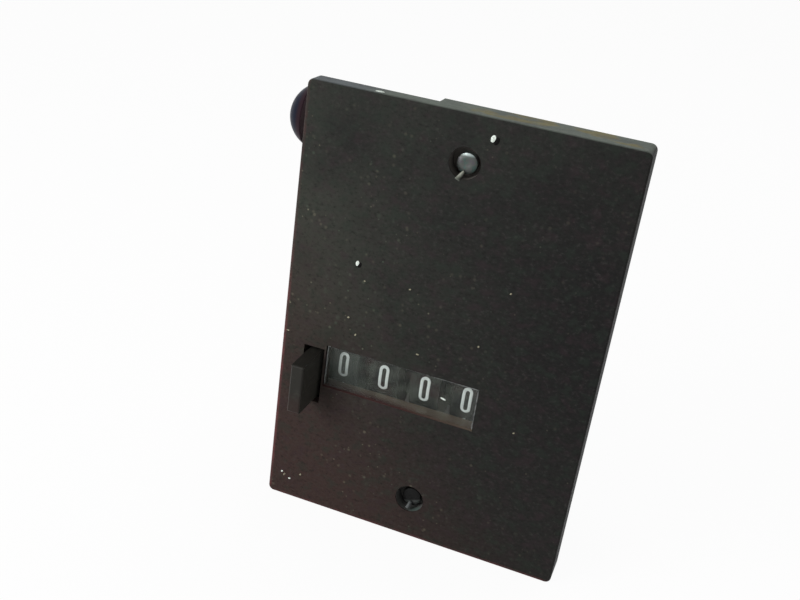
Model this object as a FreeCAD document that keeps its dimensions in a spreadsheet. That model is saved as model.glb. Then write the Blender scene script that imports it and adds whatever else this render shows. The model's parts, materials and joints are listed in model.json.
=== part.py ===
"""Hand tally counter: four number wheels in a two-part case, a side button that counts
and a push bar that turns the wheels back to zero.  Millimetres, X right, Y back, Z up,
origin at the middle of the flat base."""
import FreeCAD, Part
import math
import os
import re
import Sketcher

SIZES = {
    # case
    "case_width": 52.5,
    "axis_height": 27.6,
    "cover_depth": 5.6,
    "cover_wall": 1.8,
    "cover_corner": 1.0,
    "cover_edge": 0.35,
    "notch_start": 3.1,
    "notch_width": 20.2,
    "shell_inset": 1.5,
    "shell_wall": 1.6,
    "shell_drop": 3.8,
    "shell_corner": 2.0,
    "roof_gap": 1.5,
    "swing_room": 1.15,
    "tongue_depth": 2.4,
    "tongue_wall": 1.0,
    "fit_gap": 0.1,
    # case screws
    "screw_margin": 7.15,
    "bore_radius": 2.5,
    "bore_depth": 2.6,
    "bore_rise": 0.35,
    "head_radius": 1.65,
    "head_height": 1.4,
    "socket_radius": 0.6,
    "socket_depth": 0.5,
    "shank_radius": 0.95,
    "shank_length": 12.0,
    "shank_gap": 0.05,
    "post_radius": 3.0,
    "boss_rim": 0.7,
    "post_front": 7.8,
    "post_back": 18.0,
    # window
    "window_drop": 3.6,
    "window_rise": 4.1,
    "hood_depth": 3.1,
    "hood_wall": 1.0,
    "rim_cover": 0.245,
    "lens_front": 0.3,
    "lens_wall": 1.0,
    "lens_ledge": 0.4,
    # number wheels
    "wheel_pitch": 7.33,
    "wheel_radius": 9.6,
    "wheel_recess": 2.8,
    "rim_width": 5.2,
    "rim_wall": 1.2,
    "web_wall": 1.2,
    "hub_radius": 2.2,
    "end_gap": 0.1,
    "digit_count": 10,
    "ratchet_radius": 6.4,
    "ratchet_root": 5.6,
    "ratchet_width": 1.2,
    "ratchet_phase": 18.0,
    "ratchet_land": 2.0,
    "peg_circle": 6.1,
    "peg_angle": 36.0,
    "peg_radius": 0.5,
    # wheel shaft
    "shaft_radius": 1.0,
    "running_gap": 0.05,
    "press_gap": 0.02,
    "groove_width": 0.5,
    "groove_depth": 0.4,
    "shaft_tail": 1.5,
    "clip_wall": 0.5,
    "clip_rim": 0.9,
    "clip_bite": 0.3,
    "small_rim": 0.6,
    # wheel frame
    "plate_wall": 0.6,
    "plate_front": 4.2,
    "plate_skirt": 6.0,
    "reset_room": 4.0,
    "foot_length": 5.5,
    "foot_height": 5.0,
    "foot_pad": 1.4,
    "small_screw": 0.75,
    "small_head": 1.35,
    "small_head_height": 0.8,
    "rod_radius": 1.5,
    "rod_lip": 0.8,
    "rod_tenon": 1.0,
    "bridge_gap": 0.6,
    "bridge_wall": 1.0,
    "bridge_flange": 6.0,
    "bridge_inset": 3.0,
    # count button
    "button_depth": 12.0,
    "dome_radius": 5.6,
    "dome_height": 3.8,
    "stroke_gap": 0.1,
    "stem_radius": 2.2,
    "stem_slot": 3.0,
    "stem_land": 1.2,
    "count_stroke": 4.0,
    "bushing_radius": 3.55,
    "flange_radius": 4.5,
    "flange_wall": 0.9,
    "bushing_tail": 1.5,
    "bushing_recess": 1.2,
    "recess_radius": 3.3,
    "nut_radius": 4.2,
    "nut_wall": 1.2,
    "cap_recess": 1.4,
    "button_wire": 0.5,
    "button_coils": 4.5,
    "coil_radius": 2.82,
    # count slide, pusher and pawl
    "slide_wall": 1.0,
    "slide_lip": 1.8,
    "neck_gap": 1.0,
    "button_rise": 5.4,
    "pin_radius": 0.8,
    "guide_radius": 1.0,
    "guide_head": 1.7,
    "guide_head_wall": 0.7,
    "guide_offset": 7.8,
    "guide_rise": 2.3,
    "guide_spacing": 5.5,
    "cam_rise": 3.0,
    "pusher_wall": 1.0,
    "pusher_width": 8.0,
    "pusher_shift": 3.15,
    "strap_lip": 1.2,
    "pivot_radius": 0.75,
    "barrel_radius": 1.2,
    "pivot_rise": 4.8,
    "pivot_reach": 1.5,
    "shelf_wall": 1.0,
    "shelf_gap": 2.2,
    "pawl_tip_radius": 5.8,
    "carry_step": 0.75,
    "claw_height": 2.2,
    "claw_depth": 1.0,
    "finger_depth": 1.8,
    "finger_width": 0.9,
    "finger_gap": 0.25,
    "ear_wall": 1.1,
    "ear_half": 0.95,
    "comb_drop": 1.5,
    "comb_wall": 1.2,
    "pawl_wire": 0.35,
    "pawl_coil_radius": 1.2,
    "pawl_coils": 3,
    "pawl_coil_length": 1.5,
    # detent
    "detent_front": 5.0,
    "detent_bar_depth": 2.4,
    "detent_height": 3.0,
    "detent_gap": 1.0,
    "leaf_wall": 0.3,
    "detent_tip_y": 3.05,
    "detent_tip_z": 5.05,
    # reset bar and its gears
    "tab_width": 2.2,
    "tab_drop": 6.3,
    "tab_height": 8.7,
    "tab_reach": 6.5,
    "tab_edge": 0.3,
    "tab_gap": 0.55,
    "slot_gap": 0.75,
    "slot_end_gap": 0.8,
    "gear_width": 0.9,
    "layer_gap": 0.15,
    "gear_module": 0.5,
    "pinion_teeth": 8,
    "gear_teeth": 20,
    "gear_addendum": 0.4,
    "gear_dedendum": 0.55,
    "mesh_angle": 59.0,
    "stud_radius": 0.75,
    "stud_head": 1.4,
    "bar_gap": 0.4,
    "bar_rise": 7.0,
    "bar_lip": 1.3,
    "rack_tail": 1.4,
    "yoke_end": 0.38,
    "limb_height": 1.5,
    "yoke_gap": 0.8,
    "guide_drop": 2.1,
    "lug_wall": 1.5,
    "lug_half": 1.45,
    "spring_gap": 0.95,
    "anchor_inset": 3.5,
    "anchor_wall": 0.8,
    "rod_thin": 0.6,
    "reset_wire": 0.35,
    "reset_coil_radius": 1.2,
    "reset_coils": 9,
}

# Places that several pieces share, as formulas of the sizes above.  The mechanism sets the
# case's height and depth, so each of these is a sum and not a size of its own.
WHEEL_Z = "axis_height"
DETENT_LOW = "(axis_height - wheel_radius - detent_gap - detent_height)"
DETENT_HIGH = "(axis_height - wheel_radius - detent_gap)"
PLATE_LOW = f"({DETENT_LOW} - plate_skirt)"
PIVOT_Z = "(axis_height + wheel_radius + pivot_rise)"
SHELF_LOW = f"({PIVOT_Z} + shelf_gap)"
GUIDE_LOW = f"({SHELF_LOW} + shelf_wall + guide_rise)"
GUIDE_HIGH = f"({GUIDE_LOW} + guide_spacing)"
CAM_Z = f"({GUIDE_HIGH} + count_stroke + cam_rise)"
SLIDE_GUIDE_Z = f"({CAM_Z} - count_stroke / 2)"
BUTTON_Z = f"({CAM_Z} + pin_radius + button_rise)"
BRIDGE_LOW = f"({GUIDE_LOW} - 1.5 * guide_radius)"
PLATE_HIGH = f"({BUTTON_Z} - stem_radius - clip_rim - 2 * fit_gap)"
CASE_HEIGHT = f"({BUTTON_Z} + nut_radius + roof_gap + shell_wall + shell_inset)"
UPPER_SCREW_Z = f"({CASE_HEIGHT} - screw_margin - 2 * bore_rise)"

COMB_REACH = "(pawl_tip_radius + 3 * carry_step + finger_depth)"
CASE_DEPTH = f"(wheel_recess + wheel_radius + {COMB_REACH} + swing_room + shell_wall)"
FRONT = f"(-{CASE_DEPTH} / 2)"
BACK = f"({CASE_DEPTH} / 2)"
JOINT_Y = f"({FRONT} + cover_depth)"
FACE_IN = f"({FRONT} + cover_wall)"
SHELL_IN = f"({BACK} - shell_wall)"
WHEEL_Y = f"({FRONT} + wheel_recess + wheel_radius)"
FRAME_FRONT = f"({FRONT} + plate_front)"
FRAME_BACK = f"({SHELL_IN} - foot_pad)"
BUTTON_Y = f"({FRONT} + button_depth)"
SLIDE_BACK = f"({BUTTON_Y} + slide_wall / 2)"
BRIDGE_FRONT = f"({SLIDE_BACK} + bridge_gap)"
BRIDGE_BACK = f"({BRIDGE_FRONT} + bridge_wall)"
PUSHER_FRONT = f"({BRIDGE_BACK} + 2 * fit_gap)"
PUSHER_BACK = f"({PUSHER_FRONT} + pusher_wall)"
PIVOT_Y = f"({WHEEL_Y} + pawl_tip_radius + pivot_reach)"

SHELL_SIDE = "(case_width / 2 - shell_inset)"
LEFT_WALL_IN = f"(-{SHELL_SIDE} + shell_wall)"
LEFT_OUT = f"({LEFT_WALL_IN} + reset_room)"
LEFT_IN = f"({LEFT_OUT} + plate_wall)"
FINGER_STACK = "(3 * wheel_pitch + rim_width + finger_gap + finger_width)"
RIGHT_IN = f"({LEFT_IN} + end_gap + max(4 * wheel_pitch; {FINGER_STACK} + 1.5 * clip_wall + fit_gap))"
RIGHT_OUT = f"({RIGHT_IN} + plate_wall)"
WINDOW_X = f"({LEFT_IN} + end_gap + rim_width / 2 + 1.5 * wheel_pitch)"
WINDOW_WIDTH = "(3 * wheel_pitch + rim_width - 2 * rim_cover)"
PUSHER_X = f"({WINDOW_X} + pusher_shift)"
SLIDE_GUIDE_X = f"({PUSHER_X} - guide_offset)"
BUSHING_FRONT = f"(-{SHELL_SIDE} - flange_wall)"
BUSHING_END = f"({LEFT_WALL_IN} + bushing_tail)"
DOME_BACK = f"({BUSHING_FRONT} - count_stroke - stroke_gap)"
DOME_TIP = f"({DOME_BACK} - dome_height)"
STEM_CLIP_X = f"({BUSHING_END} + 4 * running_gap)"
STEM_END = f"({STEM_CLIP_X} + clip_wall + stem_land + stem_slot)"

TAB_IN = f"({LEFT_OUT} - fit_gap)"
TAB_OUT = f"({TAB_IN} - tab_width)"
GEAR_OUT = f"({TAB_IN} - gear_width)"
RACK_IN = f"({GEAR_OUT} - layer_gap)"
PINION_RADIUS = "(pinion_teeth * gear_module / 2)"
PINION_TIP = f"({PINION_RADIUS} + gear_addendum)"
GEAR_RADIUS = "(gear_teeth * gear_module / 2)"
IDLER_Z = f"(axis_height - ({PINION_RADIUS} + {GEAR_RADIUS}) * sin(mesh_angle))"
IDLER_Y = f"({WHEEL_Y} + ({PINION_RADIUS} + {GEAR_RADIUS}) * cos(mesh_angle))"
RESET_STROKE = f"(2 * {math.pi} * {PINION_RADIUS} * pinion_teeth / gear_teeth)"
RACK_Z = f"({IDLER_Z} - {PINION_RADIUS})"
RACK_ROOT = f"({RACK_Z} - gear_dedendum)"
RACK_PITCH = f"({math.pi} * gear_module)"
TAB_LOW = "(axis_height - tab_drop)"
TAB_HIGH = f"({TAB_LOW} + tab_height)"
TAB_ROOT = f"({WHEEL_Y} - {PINION_TIP} - {RESET_STROKE} - tab_gap)"
BAR_FRONT = f"({FACE_IN} + bar_gap)"
BAR_BACK = f"({IDLER_Y} + rack_tail)"
BAR_HIGH = "(axis_height + bar_rise)"
BAR_GUIDE_Z = f"({BAR_HIGH} - guide_drop)"
BAR_GUIDE_FRONT = f"({BAR_FRONT} + {RESET_STROKE} + guide_radius + bar_lip)"
BAR_GUIDE_BACK = f"({BAR_BACK} - guide_radius - bar_lip)"
YOKE_FRONT = f"({IDLER_Y} - {PINION_TIP} - {RESET_STROKE} - yoke_end)"
SPRING_X = f"(({TAB_OUT} + {RACK_IN}) / 2)"
SPRING_Z = f"({BAR_HIGH} + lug_half + spring_gap)"
ANCHOR_Y = f"({FRAME_BACK} - anchor_inset)"
DETENT_Y = f"({FRONT} + detent_front)"
DETENT_TENON = ("detent", f"({DETENT_Y} + detent_bar_depth / 2)", f"(({DETENT_LOW} + {DETENT_HIGH}) / 2)")

# Local axes of a piece: rods and side plates lie along X, face plates look forward.
UPRIGHT = FreeCAD.Rotation()
TO_RIGHT = FreeCAD.Rotation(FreeCAD.Vector(1, 1, 1), 120)
TO_FRONT = FreeCAD.Rotation(FreeCAD.Vector(1, 0, 0), 90)
TO_BACK = FreeCAD.Rotation(FreeCAD.Vector(1, 0, 0), -90)

WHEELS = ("thousands", "hundreds", "tens", "units")

doc = FreeCAD.newDocument("tally_counter")
sheet = doc.addObject("Spreadsheet::Sheet", "Sizes")
for row, (alias, size) in enumerate(SIZES.items(), start=1):
    sheet.set(f"A{row}", alias)
    sheet.set(f"B{row}", str(size))
    sheet.setAlias(f"B{row}", alias)
doc.recompute()
pieces = []


def formula(text):
    """Point each size named in a formula at its cell."""
    return re.sub(r"[a-z]+(?:_[a-z]+)*", lambda word: f"Sizes.{word[0]}" if word[0] in SIZES else word[0], text)


def bind(thing, **formulas):
    for prop, text in formulas.items():
        thing.setExpression(prop, formula(text))
    return thing


def place(thing, x, y, z, turn=UPRIGHT):
    thing.Placement = FreeCAD.Placement(FreeCAD.Vector(), turn)
    for axis, text in zip("xyz", (x, y, z)):
        thing.setExpression(f"Placement.Base.{axis}", formula(text))
    return thing


def block(name, x, y, z):
    """A box between pairs of formulas along each axis."""
    box = doc.addObject("Part::Box", name)
    bind(box, Length=f"{x[1]} - ({x[0]})", Width=f"{y[1]} - ({y[0]})", Height=f"{z[1]} - ({z[0]})")
    return place(box, x[0], y[0], z[0])


def rod(name, turn, x, y, z, radius, length):
    cylinder = bind(doc.addObject("Part::Cylinder", name), Radius=radius, Height=length)
    return place(cylinder, x, y, z, turn)


def join(name, *things):
    fusion = doc.addObject("Part::MultiFuse", name)
    fusion.Shapes = list(things)
    fusion.Refine = True
    return fusion


def cut(name, base, *tools):
    result = doc.addObject("Part::Cut", name)
    result.Base = base
    result.Tool = tools[0] if len(tools) == 1 else join(f"{name}_tools", *tools)
    result.Refine = True
    return result


def group(name, *things):
    compound = doc.addObject("Part::Compound", name)
    compound.Links = list(things)
    return compound


def piece(thing, label):
    """Keep a finished sub-part under its own name."""
    thing.Label = label
    pieces.append(thing)
    return thing


def ring(name, turn, x, y, z, inner, outer, length):
    disc = rod(f"{name}_disc", turn, x, y, z, outer, length)
    return cut(name, disc, rod(f"{name}_bore", turn, x, y, z, inner, length))


def body(name, turn, x, y, z):
    return place(doc.addObject("PartDesign::Body", name), x, y, z, turn)


def sketch(owner, name, level="0", role="XY_Plane"):
    drawing = owner.newObject("Sketcher::SketchObject", name)
    support = next(plane for plane in owner.Origin.OriginFeatures if plane.Role == role)
    drawing.AttachmentSupport = [(support, "")]
    drawing.MapMode = "FlatFace"
    drawing.setExpression("AttachmentOffset.Base.z", formula(level))
    return drawing


def measure(drawing, kind, geometry, point, text):
    number = drawing.addConstraint(Sketcher.Constraint(kind, -1, 1, geometry, point, 1.0))
    drawing.setExpression(f"Constraints[{number}]", formula(text))


def outline(drawing, corners):
    """A closed polygon whose corners are measured from the sketch's origin."""
    count = len(corners)
    turns = [2 * math.pi * k / count for k in range(count)]
    start = [FreeCAD.Vector(math.cos(turn), math.sin(turn)) for turn in turns]
    for k in range(count):
        drawing.addGeometry(Part.LineSegment(start[k], start[(k + 1) % count]))
    for k in range(count):
        drawing.addConstraint(Sketcher.Constraint("Coincident", k, 2, (k + 1) % count, 1))
    for k, (x, y) in enumerate(corners):
        measure(drawing, "DistanceX", k, 1, x)
        measure(drawing, "DistanceY", k, 1, y)


def circle(drawing, x, y, radius):
    number = drawing.addGeometry(Part.Circle(FreeCAD.Vector(), FreeCAD.Vector(0, 0, 1), 1))
    measure(drawing, "DistanceX", number, 3, x)
    measure(drawing, "DistanceY", number, 3, y)
    size = drawing.addConstraint(Sketcher.Constraint("Radius", number, 1.0))
    drawing.setExpression(f"Constraints[{size}]", formula(radius))


def shaped(owner, kind, name, profile, **formulas):
    feature = owner.newObject(f"PartDesign::{kind}", name)
    feature.Profile = profile
    return bind(feature, **formulas)


def plate(name, turn, x, y, z, corners, wall):
    """A flat plate of any outline, standing on its own local plane."""
    sheet_body = body(name, turn, x, y, z)
    drawing = sketch(sheet_body, f"{name}_outline")
    outline(drawing, corners)
    shaped(sheet_body, "Pad", f"{name}_pad", drawing, Length=wall)
    return sheet_body


def long_hole(name, turn, x, y, z, reach, radius, depth):
    """The room that a pin needs as it travels by reach in a plate's own plane."""
    along = f"sqrt(({reach[0]}) ^ 2 + ({reach[1]}) ^ 2)"
    side_x, side_y = f"({radius}) * ({reach[1]}) / {along}", f"({radius}) * ({reach[0]}) / {along}"
    corners = [
        (side_x, f"-{side_y}"),
        (f"{reach[0]} + {side_x}", f"{reach[1]} - {side_y}"),
        (f"{reach[0]} - {side_x}", f"{reach[1]} + {side_y}"),
        (f"-{side_x}", side_y),
    ]
    tool = plate(name, turn, x, y, z, corners, depth)
    for end, centre in (("near", ("0", "0")), ("far", reach)):
        drawing = sketch(tool, f"{name}_{end}")
        circle(drawing, centre[0], centre[1], radius)
        shaped(tool, "Pad", f"{name}_{end}_pad", drawing, Length=depth)
    return tool


def round_edges(owner, name, radius, chosen):
    """Round the edges of a body whose boxes pass the test."""
    last = owner.Tip
    edges = [f"Edge{k}" for k, edge in enumerate(owner.Shape.Edges, start=1) if chosen(edge.BoundBox)]
    rounding = owner.newObject("PartDesign::Fillet", name)
    rounding.Base = (last, edges)
    bind(rounding, Radius=radius)
    return rounding


def repeat(owner, name, feature, drawing, count, kind="PolarPattern"):
    pattern = owner.newObject(f"PartDesign::{kind}", name)
    pattern.Originals = [feature]
    pattern.Axis = (drawing, ["N_Axis"])
    pattern.Angle = 360
    bind(pattern, Occurrences=count)
    owner.Tip = pattern
    return pattern


def toothed_wheel(name, x, y, z, teeth, width, phase, bore):
    """A spur wheel whose teeth taper straight from root to tip; phase is where one tooth stands."""
    wheel = body(name, TO_RIGHT, x, y, z)
    pitch_radius = f"({teeth} * gear_module / 2)"
    blank = sketch(wheel, f"{name}_blank")
    circle(blank, "0", "0", f"{pitch_radius} - gear_dedendum")
    shaped(wheel, "Pad", f"{name}_disc", blank, Length=width)
    drawing = sketch(wheel, f"{name}_tooth")
    root, tip = f"({pitch_radius} - gear_dedendum - gear_module / 5)", f"({pitch_radius} + gear_addendum)"
    half_root, half_tip = "(0.95 * gear_module)", "(0.3 * gear_module)"
    corners = []
    for radius, side in ((root, f"-{half_root}"), (tip, f"-{half_tip}"), (tip, half_tip), (root, half_root)):
        across = f"{radius} * cos({phase}) - {side} * sin({phase})"
        corners.append((across, f"{radius} * sin({phase}) + {side} * cos({phase})"))
    outline(drawing, corners)
    tooth = shaped(wheel, "Pad", f"{name}_one", drawing, Length=width)
    doc.recompute()
    repeat(wheel, f"{name}_teeth", tooth, drawing, teeth)
    bore_sketch = sketch(wheel, f"{name}_bore")
    circle(bore_sketch, "0", "0", bore)
    hole = shaped(wheel, "Pocket", f"{name}_hole", bore_sketch, Length=width)
    hole.Reversed = True
    return wheel


def coil(name, turn, x, y, z, radius, wire, turns, length):
    """A round-wire coil spring standing on its local XY plane."""
    spring = body(name, turn, x, y, z)
    drawing = sketch(spring, f"{name}_wire", role="XZ_Plane")
    circle(drawing, radius, f"{wire} / 2", f"{wire} / 2")
    helix = spring.newObject("PartDesign::AdditiveHelix", f"{name}_helix")
    helix.Profile = drawing
    helix.ReferenceAxis = (drawing, ["V_Axis"])
    helix.Mode = 0
    bind(helix, Height=f"{length} - {wire}", Pitch=f"({length} - {wire}) / ({turns})")
    return spring


def screw(name, turn, x, y, z, shank, length, head, head_height):
    """A screw whose local origin is under its head and whose shank runs along local Z."""
    up = turn.multVec(FreeCAD.Vector(0, 0, 1))
    top = [f"{start} - {axis} * {head_height}" for start, axis in zip((x, y, z), up)]
    shaft = rod(f"{name}_shank", turn, x, y, z, shank, length)
    return join(name, shaft, rod(f"{name}_head", turn, *top, head, head_height))


def front_cover():
    blank = body("cover_blank", TO_FRONT, "0", JOINT_Y, "0")
    drawing = sketch(blank, "cover_face")
    side = "case_width / 2"
    outline(drawing, [(f"-{side}", "0"), (side, "0"), (side, CASE_HEIGHT), (f"-{side}", CASE_HEIGHT)])
    shaped(blank, "Pad", "cover_pad", drawing, Length="cover_depth")
    doc.recompute()
    round_edges(blank, "cover_corners", "cover_corner", lambda edge: edge.YLength > 1)
    doc.recompute()
    foremost = blank.Shape.BoundBox.YMin
    round_edges(blank, "cover_rim", "cover_edge", lambda edge: edge.YMax < foremost + 0.01)
    inside = ("-case_width / 2 + cover_wall", "case_width / 2 - cover_wall")
    hollow = block("cover_hollow", inside, (FACE_IN, JOINT_Y), ("cover_wall", f"({CASE_HEIGHT} - cover_wall)"))
    notch_x = ("-case_width / 2", "(notch_width - case_width / 2)")
    notch_y, notch_z = (f"({FRONT} + notch_start)", JOINT_Y), (f"({CASE_HEIGHT} - cover_wall)", CASE_HEIGHT)
    notch = block("cover_notch", notch_x, notch_y, notch_z)
    tray = cut("cover_tray", blank, hollow, notch)
    width = (f"({WINDOW_X} - {WINDOW_WIDTH} / 2)", f"({WINDOW_X} + {WINDOW_WIDTH} / 2)")
    low, high = f"({WHEEL_Z} - window_drop)", f"({WHEEL_Z} + window_rise)"
    depth = (FACE_IN, f"({FRONT} + hood_depth)")
    hoods = [
        block("lower_hood", width, depth, (f"({low} - hood_wall)", low)),
        block("upper_hood", width, depth, (high, f"({high} + hood_wall)")),
    ]
    bosses, holes = [], []
    for name, z in (("lower", "screw_margin"), ("upper", UPPER_SCREW_Z)):
        boss_length = f"{FRONT} + post_front - fit_gap - {FACE_IN}"
        bosses.append(rod(f"{name}_boss", TO_BACK, "0", FACE_IN, z, "post_radius + boss_rim", boss_length))
        holes.append(rod(f"{name}_bore", TO_BACK, "0", FRONT, f"{z} + bore_rise", "bore_radius", "bore_depth"))
        holes.append(rod(f"{name}_hole", TO_BACK, "0", FRONT, z, "shank_radius + shank_gap", "post_front"))
    ledge_y = f"({FRONT} + lens_front + lens_wall)"
    window = block("window_front", width, (FRONT, ledge_y), (low, high))
    narrow = (f"({width[0]} + lens_ledge)", f"({width[1]} - lens_ledge)")
    window_back = block("window_back", narrow, (ledge_y, FACE_IN), (low, high))
    slot_x = (f"({TAB_OUT} - slot_gap)", f"({TAB_IN} + slot_gap)")
    slot_z = (f"({TAB_LOW} - slot_end_gap)", f"({TAB_HIGH} + slot_end_gap)")
    slot = block("reset_slot", slot_x, (FRONT, FACE_IN), slot_z)
    whole = join("cover_solid", tray, *hoods, *bosses)
    piece(cut("cover", whole, window, window_back, slot, *holes), "front_cover")
    lens_x = (f"({width[0]} + running_gap)", f"({width[1]} - running_gap)")
    lens_z = (f"({low} + running_gap)", f"({high} - running_gap)")
    piece(block("lens", lens_x, (f"({FRONT} + lens_front)", ledge_y), lens_z), "window_lens")


def rear_shell():
    """The box behind the cover: its roof slopes down to the back and its tongue enters the cover."""
    roof_front, roof_back = f"({CASE_HEIGHT} - shell_inset)", f"({CASE_HEIGHT} - shell_inset - shell_drop)"
    profile = [(JOINT_Y, "0"), (BACK, "0"), (BACK, roof_back), (JOINT_Y, roof_front)]
    blank = plate("shell_blank", TO_RIGHT, f"-{SHELL_SIDE}", "0", "0", profile, f"2 * {SHELL_SIDE}")
    doc.recompute()
    rearmost = blank.Shape.BoundBox.YMax
    round_edges(blank, "shell_corners", "shell_corner", lambda edge: edge.YMin > rearmost - 0.01 and edge.ZMax > 1)
    floor = "(shell_inset + shell_wall)"
    ceiling = (f"({roof_back} - shell_wall)", f"({roof_front} - shell_wall)")
    room = [(JOINT_Y, floor), (SHELL_IN, floor), (SHELL_IN, ceiling[0]), (JOINT_Y, ceiling[1])]
    hollow = plate("shell_hollow", TO_RIGHT, LEFT_WALL_IN, "0", "0", room, f"-2 * {LEFT_WALL_IN}")
    tongue_y = (f"({JOINT_Y} - tongue_depth)", f"({JOINT_Y} + tongue_wall)")
    rings = []
    for name, inset in (("outer", "(cover_wall + fit_gap)"), ("inner", "(cover_wall + fit_gap + tongue_wall)")):
        x = (f"(-case_width / 2 + {inset})", f"(case_width / 2 - {inset})")
        rings.append(block(f"tongue_{name}", x, tongue_y, (inset, f"({CASE_HEIGHT} - {inset})")))
    shell_box = join("shell_box", cut("shell_walls", blank, hollow), cut("tongue", *rings))
    post_y = (f"({FRONT} + post_front)", f"({FRONT} + post_back)")
    rib_z = ("(shell_inset + shell_wall / 2)", "screw_margin")
    posts, holes = [block("post_rib", ("-post_radius / 2", "post_radius / 2"), post_y, rib_z)], []
    for name, z in (("lower", "screw_margin"), ("upper", UPPER_SCREW_Z)):
        posts.append(rod(f"{name}_post", TO_BACK, "0", post_y[0], z, "post_radius", "post_back - post_front"))
        holes.append(rod(f"{name}_pilot", TO_BACK, "0", post_y[0], z, "shank_radius + shank_gap", "shank_length"))
    pad_y = (f"({FRAME_BACK} + running_gap)", f"({SHELL_IN} + shell_wall / 4)")
    pilot_size = ("small_screw + shank_gap", "plate_wall + shell_wall + shell_wall / 8")
    for side, level, x, z in feet_places():
        posts.append(block(f"{side}_{level}_pad", x, pad_y, (z, f"({z} + foot_height)")))
        spot = (f"(({x[0]} + {x[1]}) / 2)", FRAME_BACK, f"({z} + foot_height / 2)")
        holes.append(rod(f"{side}_{level}_pilot", TO_BACK, *spot, *pilot_size))
    bushing_size = ("bushing_radius + running_gap", "2 * shell_wall")
    bushing_hole = rod("bushing_hole", TO_RIGHT, f"-{SHELL_SIDE}", BUTTON_Y, BUTTON_Z, *bushing_size)
    piece(cut("shell", join("shell_solid", shell_box, *posts), bushing_hole, *holes), "rear_shell")


def case_screws():
    screws, seat = [], f"({FRONT} + bore_depth)"
    size = ("shank_radius", "shank_length", "head_radius", "head_height")
    for name, z in (("lower", "screw_margin"), ("upper", UPPER_SCREW_Z)):
        whole = screw(f"{name}_screw", TO_BACK, "0", seat, z, *size)
        socket = doc.addObject("Part::Prism", f"{name}_socket")
        bind(socket, Circumradius="socket_radius", Height="socket_depth")
        socket.Polygon = 6
        place(socket, "0", f"{seat} - head_height", z, TO_BACK)
        screws.append(cut(f"{name}_case_screw", whole, socket))
    piece(group("screws", *screws), "case_screws")


def number_wheel(index, name):
    """A number wheel with its ratchet; each wheel but the last carries to the next by one deep notch."""
    rim_left = f"({LEFT_IN} + end_gap + {index} * wheel_pitch)"
    wheel = body(f"{name}_blank", TO_RIGHT, rim_left, WHEEL_Y, WHEEL_Z)
    profile = sketch(wheel, f"{name}_section", role="XZ_Plane")
    bore, ratchet_end = "(shaft_radius + running_gap)", "(rim_width + ratchet_width)"
    web, rim_inside = "(rim_width - web_wall)", "(wheel_radius - rim_wall)"
    outline(profile, [
        (bore, "0"), ("hub_radius", "0"), ("hub_radius", web), (rim_inside, web), (rim_inside, "0"),
        ("wheel_radius", "0"), ("wheel_radius", "rim_width"),
        ("ratchet_radius", "rim_width"), ("ratchet_radius", ratchet_end),
        ("hub_radius", ratchet_end), ("hub_radius", "(wheel_pitch - end_gap)"), (bore, "(wheel_pitch - end_gap)"),
    ])
    turned = shaped(wheel, "Revolution", f"{name}_turned", profile)
    turned.ReferenceAxis = (profile, ["V_Axis"])
    turned.Angle = 360
    doc.recompute()
    step = "(360 / digit_count)"
    deep_root = f"(ratchet_root - {index} * carry_step)"
    notches = (("notch", "ratchet_phase", "ratchet_root"), ("deep", f"(ratchet_phase - {step})", deep_root))
    for kind, start, root in notches:
        drawing = sketch(wheel, f"{name}_{kind}_outline", level=ratchet_end)
        end, outside = f"({start} + {step} - ratchet_land)", "(1.1 * ratchet_radius)"
        polar = ((root, start), (outside, start), (outside, end), ("ratchet_radius", end))
        outline(drawing, [(f"{radius} * cos({angle})", f"{radius} * sin({angle})") for radius, angle in polar])
        notch = shaped(wheel, "Pocket", f"{name}_{kind}", drawing, Length="ratchet_width")
        doc.recompute()
        if kind == "notch":
            repeat(wheel, f"{name}_notches", notch, drawing, "digit_count")
            doc.recompute()
    peg_spot = (f"{WHEEL_Y} + peg_circle * cos(peg_angle)", f"{WHEEL_Z} + peg_circle * sin(peg_angle)")
    peg_size = ("peg_radius", f"{web} - rim_width / 8")
    peg = rod(f"{name}_peg", TO_RIGHT, f"{rim_left} + rim_width / 8", *peg_spot, *peg_size)
    slot_x = (f"({rim_left} + rim_width / 8)", f"({rim_left} + rim_width / 2)")
    slot_y = (f"({WHEEL_Y} - groove_width)", f"({WHEEL_Y} + hub_radius)")
    slot = block(f"{name}_hub_slot", slot_x, slot_y, (WHEEL_Z, f"({WHEEL_Z} + hub_radius)"))
    piece(join(f"{name}_whole", cut(f"{name}_slotted", wheel, slot), peg), f"{name}_wheel")
    reset_finger(name, rim_left)


def reset_finger(name, rim_left):
    """A leaf on a wheel's peg whose tip drops into the shaft's groove."""
    half_tip, leaf = "(groove_width / 2 - 2 * running_gap)", "leaf_wall"
    peg_y, peg_z = "(peg_circle * cos(peg_angle))", "(peg_circle * sin(peg_angle))"
    corners = [
        (f"-{half_tip}", "(shaft_radius - groove_depth / 2)"), (half_tip, "(shaft_radius - groove_depth / 2)"),
        (half_tip, "(shaft_radius + 3 * running_gap)"), (peg_y, f"({peg_z} - 2 * {leaf})"),
        (peg_y, f"({peg_z} - {leaf})"), (f"-{half_tip}", f"(shaft_radius + 3 * running_gap + {leaf})"),
    ]
    start = f"({rim_left} + rim_width / 4)"
    arm = plate(f"{name}_arm", TO_RIGHT, start, WHEEL_Y, WHEEL_Z, corners, "rim_width / 6")
    place_y, place_z = f"{WHEEL_Y} + {peg_y}", f"{WHEEL_Z} + {peg_z}"
    eye = rod(f"{name}_eye", TO_RIGHT, start, place_y, place_z, "peg_radius + 2 * leaf_wall", "rim_width / 6")
    bore = rod(f"{name}_eye_bore", TO_RIGHT, start, place_y, place_z, "peg_radius + press_gap", "rim_width / 6")
    piece(cut(f"{name}_finger", join(f"{name}_leaf", arm, eye), bore), f"{name}_reset_finger")


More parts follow.
